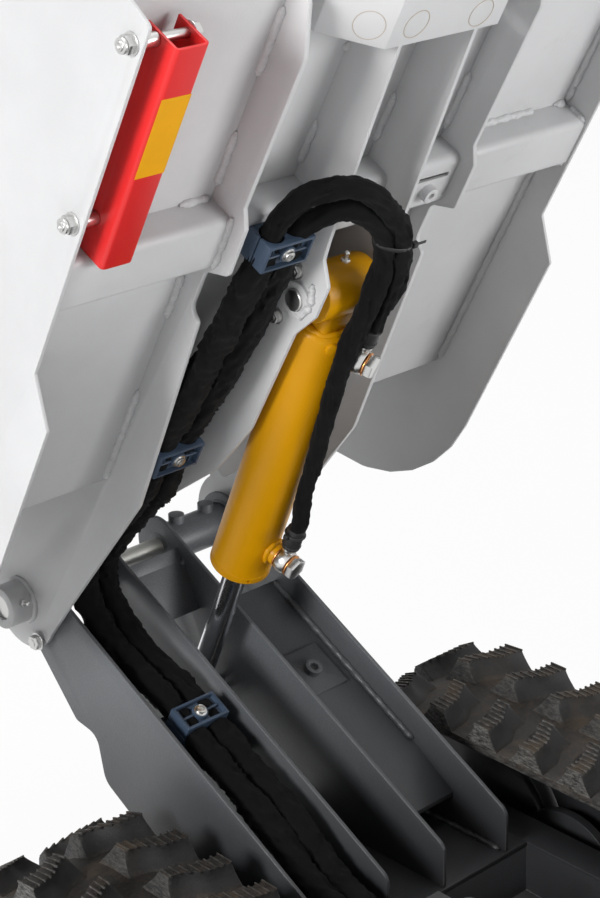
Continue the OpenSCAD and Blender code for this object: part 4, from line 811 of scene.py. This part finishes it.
# distance along the barrel, turn round it and height of the boss of each port
PORTS = ((69, math.radians(69), 42), (361, math.radians(81), 45))
BARREL_R, BARREL_END, EYE_R, EYE_W = 36, 409, 31, 76
PLUG_TURN, BOSS_R = math.radians(112), 13.2
# heights above a port's boss: its copper washer, the top of its banjo and the hose's middle
WASHER_T, BANJO_TOP, HOSE_OUT = 1.4, 18, 9.7


def port_place(port, out, along=0.0):
    """A point of a port in the cylinder's frame, out from the barrel's axis and along it."""
    run, turn, _ = port
    return Vector((out * math.cos(turn), run + along, -out * math.sin(turn)))


class CARRIER_OT_cylinder(bpy.types.Operator):
    """Models the tipping cylinder's barrel and fittings, and finishes its rod"""

    bl_idname = "carrier.cylinder"
    bl_label = "Tipping cylinder"

    def execute(self, context):
        self.barrel()
        self.fittings()
        softened("cylinder_rod", sizes().edge)
        return {"FINISHED"}

    def barrel(self):
        tube = round_bar((0, 42, 0), (0, BARREL_END, 0), BARREL_R, sides=72)
        round_end(tube, Vector((0, -1, 0)), 11, 6)
        round_end(tube, Vector((0, 1, 0)), 1.6)
        cut(tube, hoop((0, BARREL_END - 9, 0), (0, 1, 0), BARREL_R + 0.2, 0.8, 8),
            round_bar((-14, BARREL_END - 4.5, -30), (-20, BARREL_END - 4.5, -44), 2.2))
        eye = round_bar((-EYE_W / 2, 0, 0), (EYE_W / 2, 0, 0), EYE_R, 2.5, sides=72)
        cut(eye, round_bar((-EYE_W, 0, 0), (EYE_W, 0, 0), 17.6, sides=48))
        neck = block((48, 40, 48), (0, 30, 0), 9, 4)
        seam = lumpy(hoop((0, 44, 0), (0, 1, 0), 27, 4.5, 16), 0.009, 0.004)
        plug_dir = Vector((math.cos(PLUG_TURN), 0, -math.sin(PLUG_TURN)))
        plug_at = Vector((0, 56, 0))
        plug = round_bar(plug_at + 26 * plug_dir, plug_at + 39 * plug_dir, 8, 2.6)
        pieces = [tube, eye, neck, seam, plug]
        for port in PORTS:
            boss = round_bar(port_place(port, 30), port_place(port, port[2]), BOSS_R, 1.0)
            out = port_place(port, 1) - port_place(port, 0)
            root = hoop(port_place(port, BARREL_R), out, BOSS_R + 0.2, 3.4)
            pieces += [boss, lumpy(root, 0.006, 0.003)]
        piece = put(joined(pieces), CYLINDER)
        finished(piece, "barrel_finished", "barrel", "yellow_paint", ["cylinder_barrel"], smooth=40)

    def fittings(self):
        steel, copper, black = [], [], []
        for port in PORTS:

            def spot(out):
                return port_place(port, port[2] + out)

            def hose(along):
                return port_place(port, port[2] + HOSE_OUT, -along)
            steel += [round_bar(spot(WASHER_T), spot(BANJO_TOP), 15.2, 5.6, sides=40),
                      round_bar(spot(BANJO_TOP + WASHER_T), spot(29), 13.6, 1.5, sides=6),
                      round_bar(hose(0), hose(20), 5.4), round_bar(hose(18), hose(24), 8.6, 0.8)]
            copper += [round_bar(spot(0), spot(WASHER_T), 13, 0.3),
                       round_bar(spot(BANJO_TOP), spot(BANJO_TOP + WASHER_T), 13.6, 0.3)]
            black += [round_bar(hose(23), hose(52), 10.6, 1.4), hoop(hose(28), (0, 1, 0), 10.5, 0.9, 8),
                      hoop(hose(44), (0, 1, 0), 11, 1.7, 8),
                      block((7, 6, 6), hose(44) - Vector((13, 0, 0)), 1)]
        grease = joined(nipple((5, -29, 3), (0, -1, 0.1)))
        piece = put(joined(steel + [grease]), CYLINDER)
        finished(piece, "fittings_finished", "barrel", "plated_steel", ["cylinder_fittings"])
        finished(put(joined(copper), CYLINDER), "copper_washers", "barrel", "plated_steel", finish="copper")
        finished(put(joined(black), CYLINDER), "hose_crimps", "barrel", "black_plastic")


# height of the tower's top edge over the pivot and drop of its hoses, both square to the edge
TOWER_TOP, HOSE_DROP = 39, 18


def below_top(y, drop=HOSE_DROP):
    """The height over the pivot of a line that lies a drop below the tower's top edge."""
    return (TOWER_TOP - drop) / math.cos(TOWER_SLOPE) + y * math.tan(TOWER_SLOPE)


TOWER_X, VALVE_Z = -97, -248
CLAMPS = {"upper": (-110, 642, -107), "lower": (-126, 332, -90)}
TOWER_CLAMP = (TOWER_X, -230, below_top(-230))


def tower_path():
    """The middle of the two hoses from the valve block to the tower's clamp, from the pivot."""
    points = [(TOWER_X, y, VALVE_Z) for y in (-560, -545, -530)]
    points += [(TOWER_X, -490, VALVE_Z + 12), (TOWER_X, -440, below_top(-440, 26))]
    return points + [(TOWER_X, y, below_top(y)) for y in (-380, -320, -270, -230)]


def pivot_path():
    """The middle of the two hoses from the tower's clamp round the pivot to the skip's lower clamp."""
    points = [(TOWER_X, y, below_top(y)) for y in (-230, -205, -185)]
    points += [(-101, -136, -54), (-106, -97, -21), (-110, -73, 18), (-113, -83, 64)]
    bends = ((-117, 188, -62), (-121, 238, -80), (-126, 277, -90), (-126, 307, -90), CLAMPS["lower"])
    return points + [tipped(point) for point in bends]


def skip_path():
    """The middle of the two hoses between the skip's two clamps."""
    bends = (CLAMPS["lower"], (-126, 357, -90), (-120, 420, -96), (-114, 500, -101), (-110, 580, -105),
             (-110, 617, -107), CLAMPS["upper"])
    return [tipped(point) for point in bends]


def port_paths():
    """The two hoses from the skip's upper clamp over the barrel's eye to the ports."""
    short = ((-125, 642, -107), (-125, 668, -108), (-121, 688, -111), (-108, 714, -118), (-71, 727, -133),
             (-45, 720, -147), (-17, 695, -156), (2, 670, -162), (17, 628, -167), (21, 595, -168))
    long = ((-95, 642, -107), (-94, 662, -111), (-76, 684, -122), (-57, 698, -136), (-31, 684, -146),
            (-11, 662, -153), (0, 630, -158), (-2, 601, -162), (-3, 566, -165), (-6, 486, -169),
            (-3, 442, -173), (0, 399, -177), (4, 353, -181), (6, 308, -186), (8, 290, -188))
    paths = []
    for bends, port in zip((short, long), PORTS):
        end = [port_place(port, port[2] + HOSE_OUT, -along) * MM for along in (62, 54, 46)]
        end = [(CYLINDER @ point - PIVOT) / MM for point in end]
        paths.append([tipped(point) for point in bends] + [tuple(point) for point in end])
    return paths


def tipped(point):
    """A point of the lowered skip as it lies with the skip tipped, from the pivot."""
    turned = Matrix.Rotation(-TIP, 3, "X") @ Vector(skip_point(*point))
    return tuple(turned)


def smooth_line(points, steps=10):
    """A smooth curve through the points."""
    points = [Vector(p) for p in points]
    line = []
    for i in range(len(points) - 1):
        b, c = points[i], points[i + 1]
        a = points[i - 1] if i else 2 * b - c
        d = points[i + 2] if i + 2 < len(points) else 2 * c - b
        for k in range(steps):
            t = k / steps
            line.append(0.5 * (2 * b + (c - a) * t + (2 * a - 5 * b + 4 * c - d) * t * t
                               + (3 * b - a - 3 * c + d) * t ** 3))
    return line + [points[-1]]


def path_curve(line):
    """A curve object along a line of points in mm from the pivot."""
    data = bpy.data.curves.new("path", "CURVE")
    data.dimensions = "3D"
    spline = data.splines.new("POLY")
    spline.points.add(len(line) - 1)
    for point, place in zip(spline.points, line):
        point.co = (*(PIVOT + place * MM), 1)
    path = bpy.data.objects.new("path", data)
    bpy.context.collection.objects.link(path)
    return path


# spacing of a sleeve's rings, stretch beside a clamp where it can't widen, in metres, and how far it widens
RING_STEP, HELD_END, WIDENING = 0.0030, 0.055, 0.42


def sleeve(points, shift, seed, loose=0.0, apart=0.0, thick=1.0, slim=0.0):
    """One sleeved hose along a path, moved sideways by a shift in mm.

    Loose ones widen between their ends and lie further apart, slim ones narrow toward the last end.
    """
    radius = thick * sizes().sleeve
    line = [place + Vector((shift, 0, 0)) for place in smooth_line(points)]
    length = sum((b - a).length for a, b in zip(line, line[1:])) * MM
    start()
    bpy.ops.mesh.primitive_cylinder_add(vertices=28, radius=radius, depth=length, end_fill_type="NOTHING",
                                        location=(length / 2, 0, 0), rotation=(0, math.pi / 2, 0))
    piece = settled()
    edit_long_edges(piece, Vector((1, 0, 0)), 0.8 * length)
    bpy.ops.mesh.subdivide(number_cuts=int(length / RING_STEP))
    leave()
    unroll(piece, radius, seed)
    for size, depth, kind in ((0.024, 1.0, "CLOUDS"), (0.011, 0.5, "MUSGRAVE")):
        fold(piece, size, thick * depth * sizes().wrinkle, kind)
    parts = [point.co.x / length for point in piece.data.vertices]
    for point, part in zip(piece.data.vertices, parts):
        narrow = 1 - slim * max(0.0, min(1.0, 2.4 * part - 0.9))
        point.co.y *= narrow
        point.co.z *= narrow
    path = path_curve(line)
    modify(piece, "CURVE", object=path, deform_axis="POS_X")
    bpy.data.objects.remove(path)
    piece.data.uv_layers.remove(piece.data.uv_layers["folds"])
    for point, part in zip(piece.data.vertices, parts):
        free = max(0.0, min(1.0, part * length / HELD_END, (1 - part) * length / HELD_END))
        free = loose * free * free * (3 - 2 * free)
        middle = PIVOT.x + line[max(0, min(len(line) - 1, round(part * (len(line) - 1))))].x * MM
        point.co.x += free * (WIDENING * (point.co.x - middle) + math.copysign(apart * MM, shift))
    return piece


def unroll(piece, radius, seed):
    """Lays the sleeve's weave out in metres, and a longer, narrower sheet of folds beside it."""
    mesh = piece.data
    weave = mesh.uv_layers[0]
    weave.name = "weave"
    folds = mesh.uv_layers.new(name="folds")
    weave = mesh.uv_layers["weave"]
    for face in mesh.polygons:
        turns = [math.atan2(mesh.vertices[v].co.y, mesh.vertices[v].co.z) for v in face.vertices]
        if max(turns) - min(turns) > math.pi:
            turns = [turn + 2 * math.pi if turn < 0 else turn for turn in turns]
        for loop, vertex, turn in zip(face.loop_indices, face.vertices, turns):
            along = mesh.vertices[vertex].co.x
            weave.data[loop].uv = (along, turn * radius)
            folds.data[loop].uv = (0.18 * along + 0.37 * seed, turn * radius + 0.25 * along * math.sin(seed))


def fold(piece, size, depth, kind):
    """Presses folds of a size and depth into a sleeve."""
    texture = bpy.data.textures.new("folds", kind)
    texture.noise_scale = size
    if kind == "MUSGRAVE":
        texture.musgrave_type = "RIDGED_MULTIFRACTAL"
        texture.octaves = 2
    modify(piece, "DISPLACE", texture=texture, texture_coords="UV", uv_layer="folds", strength=depth,
           mid_level=0.55)
    bpy.data.textures.remove(texture)


# thickness of the port hoses' sleeves and how much the long one narrows, as shares
PORT_SLEEVE, LONG_SLIM = 0.86, 0.22


class CARRIER_OT_hoses(bpy.types.Operator):
    """Models the sleeved hoses in four stretches, and the tie that holds two of them together"""

    bl_idname = "carrier.hoses"
    bl_label = "Hoses"

    def execute(self, context):
        half = sizes().hose_gap / 2 / MM
        stretches = (("tower", tower_path(), "chassis", 0.6, 1), ("pivot", pivot_path(), None, 0.45, 0),
                     ("skip", skip_path(), "skip", 1.1, 3))
        for index, (name, path, body, loose, apart) in enumerate(stretches):
            pair = joined([sleeve(path, side * half, 3 * index + side, loose, apart) for side in (-1, 1)])
            node = name + "_hoses"
            if body:
                finished(pair, node + "_finished", body, "hose_sleeve", [node], smooth=70)
            else:
                self.bending(pair, node)
        short, long = port_paths()
        pair = joined([sleeve(short, 0, 10, thick=PORT_SLEEVE),
                       sleeve(long, 0, 11, thick=PORT_SLEEVE, slim=LONG_SLIM)])
        finished(pair, "port_hoses_finished", "barrel", "hose_sleeve", ["port_hoses"], smooth=70)
        self.tie()
        self.valve_ends(half)
        return {"FINISHED"}

    def bending(self, pair, node):
        """The stretch round the pivot between the tower's clamp and the skip's lower clamp; it rides on no body.
        """
        pick(pair)
        pair.name = node + "_finished"
        bpy.ops.object.shade_smooth_by_angle(angle=math.radians(70))
        pair.data.materials.clear()
        pair.data.materials.append(FINISHES["hose_sleeve"])
        PIVOT + Vector(tipped(CLAMPS["lower"])) * MM
        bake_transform(pair)
        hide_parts(node)

    def tie(self):
        """A cable tie round both hoses beside the barrel's eye."""
        at = Vector((-1, -657, -158))
        band = hoop(at, (0, 1, 0), 21, 1.2, 8)
        pick(band)
        bpy.ops.transform.resize(value=(1.0, 2.0, 0.66), center_override=at * MM)
        bpy.ops.transform.rotate(value=math.radians(-28), orient_axis="Y", center_override=at * MM)
        settled()
        head = block((7, 6.5, 6), (21, -657, -170), 1, 2)
        tail = block((14, 4, 1.2), (29, -658, -171), 0.5, 1)
        finished(put(joined([band, head, tail]), SKIP), "cable_tie", "barrel", "black_plastic")

    def valve_ends(self, half):
        """The swaged ends of the hoses at the valve block."""
        ends = []
        for side in (-1, 1):
            x = TOWER_X + side * half
            ends += [round_bar((x, -562, VALVE_Z), (x, -548, VALVE_Z), 10, 0.8, sides=6),
                     round_bar((x, -550, VALVE_Z), (x, -522, VALVE_Z), 14.2, 1.0)]
        finished(put(joined(ends), Matrix.Translation(PIVOT)), "valve_hose_ends", "chassis", "plated_steel")


CLAMP_W, CLAMP_L, CLAMP_H, CLAMP_BORE_R = 62, 34, 36, 13.6
CLAMP_SEAT = -52


class CARRIER_OT_clamps(bpy.types.Operator):
    """Models a twin hose clamp with its bolt once and places it on the tower and twice on the skip"""

    bl_idname = "carrier.clamps"
    bl_label = "Hose clamps"

    def execute(self, context):
        body, bolt = self.body(), self.bolt()
        pair, bolts, feet = [], [], []
        for name, (x, s, n) in CLAMPS.items():
            place = SKIP @ Matrix.Translation(Vector((x, -s, n)) * MM) @ Matrix.Rotation(math.pi, 4, "Y")
            pair.append(put(copied(body), place))
            bolts.append(put(copied(bolt), place))
            if name == "lower":
                height = CLAMP_SEAT - n - CLAMP_H / 2
                feet.append(put(block((50, 26, height), (0, 0, -CLAMP_H / 2 - height / 2), 1, 2), place))
        finished(joined(pair), "skip_clamps_finished", "skip", "clamp_plastic", ["skip_clamps"])
        finished(joined(bolts), "skip_clamp_bolts", "skip", "plated_steel")
        finished(joined(feet), "skip_clamp_feet", "skip", "grey_paint")
        place = (Matrix.Translation(PIVOT + Vector(TOWER_CLAMP) * MM)
                 @ Matrix.Rotation(TOWER_SLOPE, 4, "X"))
        finished(put(body, place), "tower_clamp_finished", "chassis", "clamp_plastic", ["tower_clamp"])
        finished(put(bolt, place), "tower_clamp_bolt", "chassis", "plated_steel")
        return {"FINISHED"}

    def body(self):
        """The two halves, with pockets, ribs and the round boss in the upper one."""
        top = CLAMP_H / 2
        upper = block((CLAMP_W, CLAMP_L, top - 0.7), (0, 0, (top + 0.7) / 2), 1.2, 2)
        lower = block((CLAMP_W, CLAMP_L, top - 0.7), (0, 0, -(top + 0.7) / 2), 1.2, 2)
        cut(upper, block((CLAMP_W - 7, CLAMP_L - 7, 13), (0, 0, top + 0.5), 1.0, 2))
        boss = round_bar((0, 0, 6), (0, 0, top - 0.6), 9.5, 0.8)
        ribs = [block((CLAMP_W - 6, 2.6, 8), (0, 0, top - 6.5), 0.4, 1),
                block((2.6, CLAMP_L - 6, 5), (17, 0, top - 8.5), 0.4, 1),
                block((2.6, CLAMP_L - 6, 5), (-17, 0, top - 8.5), 0.4, 1)]
        halves = []
        for half in (upper, lower):
            for side in (-1, 1):
                x = side * sizes().hose_gap / 2 / MM
                cut(half, round_bar((x, -CLAMP_W, 0), (x, CLAMP_W, 0), CLAMP_BORE_R, sides=40))
            halves.append(half)
        return joined(halves + [boss] + ribs)

    def bolt(self):
        """A cap bolt with a hexagon socket and a washer."""
        top = CLAMP_H / 2
        head = round_bar((0, 0, top - 0.6), (0, 0, top + 3.4), 6.0, 0.9)
        cut(head, round_bar((0, 0, top + 1), (0, 0, top + 5), 3.3, sides=6))
        washer = round_bar((0, 0, top - 1.2), (0, 0, top - 0.2), 7.8, 0.3)
        return joined([head, washer])


# distances back and height of the strut's long bolts, and size and middle of its label place
STRUT_BOLTS, STRUT_BOLT_Z = (716, 919), -77
LABEL_SIZE, LABEL_AT = (34, 90, 0.5), (-323.2, -828.5, -105.2)


class CARRIER_OT_strut(bpy.types.Operator):
    """Finishes the safety strut, its plain label place and its long bolts"""

    bl_idname = "carrier.strut"
    bl_label = "Safety strut"

    def execute(self, context):
        softened("safety_strut", 2.2 * sizes().edge)
        label = block(LABEL_SIZE, LABEL_AT, 0.2, 1)
        finished(put(label, SKIP), "label_place", "skip", "yellow_paint", finish="sticker")
        self.bolts()
        return {"FINISHED"}

    def bolts(self):
        pieces = []
        for back in STRUT_BOLTS:

            def spot(x):
                return (x, -back, STRUT_BOLT_Z)
            shaft = round_bar(spot(-383), spot(-295), 4.9, 0.8)
            cut(shaft, ball(spot(-384.6), 3.6, 16))
            pieces += [shaft, round_bar(spot(-364.2), spot(-342.4), 7)]
            for x in (-377.5, -303.4):
                pieces.append(round_bar(spot(x), spot(x + 8), 9.4, 1.1, sides=6))
            pieces.append(round_bar(spot(-381.2), spot(-377.5), 7.8, 1.6))
            for x in (-369.9, -304.2):
                pieces.append(round_bar(spot(x), spot(x + 1.2), 10.8, 0.3))
        finished(put(joined(pieces), SKIP), "strut_bolts_finished", "skip", "plated_steel", ["strut_bolts"])


LINK_PITCH, LINKS, TRACK_W, BELT_T, WHEEL_R = 72, 42, 188, 20, 155
ROW_IN, ROW_OUT = 14, 94
# half width of a lug's foot, of its top at the inner end, and how much wider the top is at the outer end
LUG_FOOT, LUG_TOP, LUG_TOP_MORE = 27, 7.5, 3.5
RIB_H, RIBS = 1.6, 8
TRACK_RUN = {"left": 6, "right": -25.5}


class CARRIER_OT_tracks(bpy.types.Operator):
    """Models one track link flat, repeats it and bends the belt round the wheels"""

    bl_idname = "carrier.tracks"
    bl_label = "Rubber tracks"

    def execute(self, context):
        for side in ("left", "right"):
            belt = self.belt(TRACK_RUN[side])
            modify(belt, "ARRAY", count=LINKS, use_relative_offset=False, use_constant_offset=True,
                   constant_offset_displace=(LINK_PITCH * MM, 0, 0))
            self.wrap(belt, side)
            edit_all(belt)
            bpy.ops.mesh.remove_doubles(threshold=0.05 * MM)
            bpy.ops.mesh.normals_make_consistent(inside=False)
            leave()
            node = "rubber_track_" + side
            finished(belt, node + "_finished", "chassis", "track_rubber", [node], smooth=38)
        return {"FINISHED"}

    def wrap(self, belt, side):
        """Lays the flat belt round idler and sprocket, from above the idler to the rear, lugs outward."""
        idler = Vector(JOINTS["idler_%s_turn" % side]["pos_m"])
        sprocket = Vector(JOINTS["sprocket_%s_turn" % side]["pos_m"])
        radius = (WHEEL_R + BELT_T / 2) * MM
        span = idler.y - sprocket.y
        half = span + math.pi * radius
        for point in belt.data.vertices:
            run = point.co.x % (2 * half)
            wheel, way = (idler, -1) if run < half else (sprocket, 1)
            run %= half
            turn = max(0.0, run - span) / radius
            out = Vector((0, way * math.sin(turn), -way * math.cos(turn)))
            middle = wheel + Vector((point.co.y, way * min(run, span), 0))
            point.co = middle + (radius + point.co.z) * out

    def belt(self, run):
        """One link: the band's stretch, thin at its edges, with a lug in each row, half a pitch apart."""
        band = block((LINK_PITCH, TRACK_W, BELT_T), (run, 0, 0))
        edit(band, "FACE", lambda face: abs(face.normal.x) > 0.9)
        bpy.ops.mesh.delete(type="FACE")
        leave()
        for along, cuts in ((Vector((1, 0, 0)), 5), (Vector((0, 1, 0)), 9)):
            edit_long_edges(band, along, 0.05)
            bpy.ops.mesh.subdivide(number_cuts=cuts)
            leave()
        for point in band.data.vertices:
            if point.co.z < 0:
                point.co.z += 0.29 * max(0.0, abs(point.co.y) - 56 * MM)
        pieces = [band]
        for row, shift in ((1, 0), (-1, LINK_PITCH / 2)):
            pieces += self.lug(row, run + shift)
        link = joined(pieces)
        self.marks(link)
        return link

    def lean(self, out):
        """How far back the middle of a lug lies, from its inner end at 0 to its outer end at 1."""
        bend = min(1.0, max(0.0, (out - 0.20) / 0.42))
        return sizes().lug_slant / MM * (0.45 * out + 0.55 * bend * bend * (3 - 2 * bend) - 0.5)

    def lug(self, row, shift):
        """A bent, slanted lug with hollow flanks, a sloping inner end and short ribs across its top."""
        height = sizes().lug_height / MM - RIB_H
        middle, width, low = row * (ROW_IN + ROW_OUT) / 2, ROW_OUT - ROW_IN, BELT_T / 2
        body = block((30, width, height), (0, middle, low + height / 2))
        for along, cuts in ((Vector((0, 1, 0)), 11), (Vector((0, 0, 1)), 4)):
            edit_long_edges(body, along, 0.02)
            bpy.ops.mesh.subdivide(number_cuts=cuts)
            leave()
        for point in body.data.vertices:
            up = min(1.0, max(0.0, (point.co.z / MM - low) / height))
            out = min(1.0, max(0.0, (abs(point.co.y) / MM - ROW_IN) / width))
            top = LUG_TOP + LUG_TOP_MORE * out
            half = top + (LUG_FOOT - top) * (1 - up) ** (1.35 + 1.1 * math.sin(math.pi * out))
            point.co.x = (math.copysign(half, point.co.x) + self.lean(out) + shift) * MM
            point.co.y = row * (ROW_IN + width * (out + 0.13 * up * (1 - out)) - 2.0 * up * out) * MM
            point.co.z -= (1 - up) * MM
        rounded_edges(body, 0.0013, 2, 40)
        ribs = []
        for k in range(RIBS):
            out = 0.17 + 0.79 * k / (RIBS - 1)
            at = (self.lean(out) + shift, row * (ROW_IN + out * width), low + height + RIB_H - 1.2)
            ribs.append(block((2 * (LUG_TOP + LUG_TOP_MORE * out) + 2.4, 1.9, 2.4), at))
        return [body] + ribs

    def marks(self, link):
        """Marks where dry soil lies and where the rubber is scuffed, for its finish."""
        mesh = link.data
        for name in ("soil", "scuff"):
            mesh.attributes.new(name, "FLOAT", "POINT")
        soil, scuff = mesh.attributes["soil"].data, mesh.attributes["scuff"].data
        for point in mesh.vertices:
            up = (point.co.z / MM - BELT_T / 2) / (sizes().lug_height / MM - RIB_H)
            soil[point.index].value = 0.34 if up > 0.97 else 0.30 if abs(up) < 0.1 else 0.05
        for face in mesh.polygons:
            across = face.normal.y * math.copysign(1, face.center.y)
            place = abs(face.center.y) / MM
            worn = 0.9 if across > 0.75 and face.center.z > BELT_T / 2 * MM else 0.4 if across > 0.75 else 0.0
            if across < -0.45 and place < ROW_IN + 14:
                worn = 0.35
            if worn and face.area > 4e-6:
                for vertex in face.vertices:
                    scuff[vertex].value = worn


class CARRIER_PT_panel(bpy.types.Panel):
    """Lists the carrier's sizes, colours and operators"""

    bl_idname = "CARRIER_PT_panel"
    bl_label = "Tracked Power Carrier"
    bl_space_type = "VIEW_3D"
    bl_region_type = "UI"
    bl_category = "Carrier"

    def draw(self, context):
        for group in (context.scene.carrier_sizes, context.scene.carrier_colours):
            for key in group.__annotations__:
                self.layout.prop(group, key)
        for operator in OPERATORS:
            self.layout.operator(operator.bl_idname)


OPERATORS = (CARRIER_OT_stage, CARRIER_OT_skip, CARRIER_OT_tower, CARRIER_OT_cylinder, CARRIER_OT_hoses,
             CARRIER_OT_clamps, CARRIER_OT_strut, CARRIER_OT_tracks)
CLASSES = (CarrierSizes, CarrierColours, *OPERATORS, CARRIER_PT_panel)


def register():
    for cls in CLASSES:
        bpy.utils.register_class(cls)
    bpy.types.Scene.carrier_sizes = bpy.props.PointerProperty(type=CarrierSizes)
    bpy.types.Scene.carrier_colours = bpy.props.PointerProperty(type=CarrierColours)


def unregister():
    del bpy.types.Scene.carrier_colours
    del bpy.types.Scene.carrier_sizes
    for cls in reversed(CLASSES):
        bpy.utils.unregister_class(cls)


def main():
    register()
    for operator in OPERATORS:
        group, name = operator.bl_idname.split(".")
        getattr(getattr(bpy.ops, group), name)()


if __name__ == "__main__":
    main()
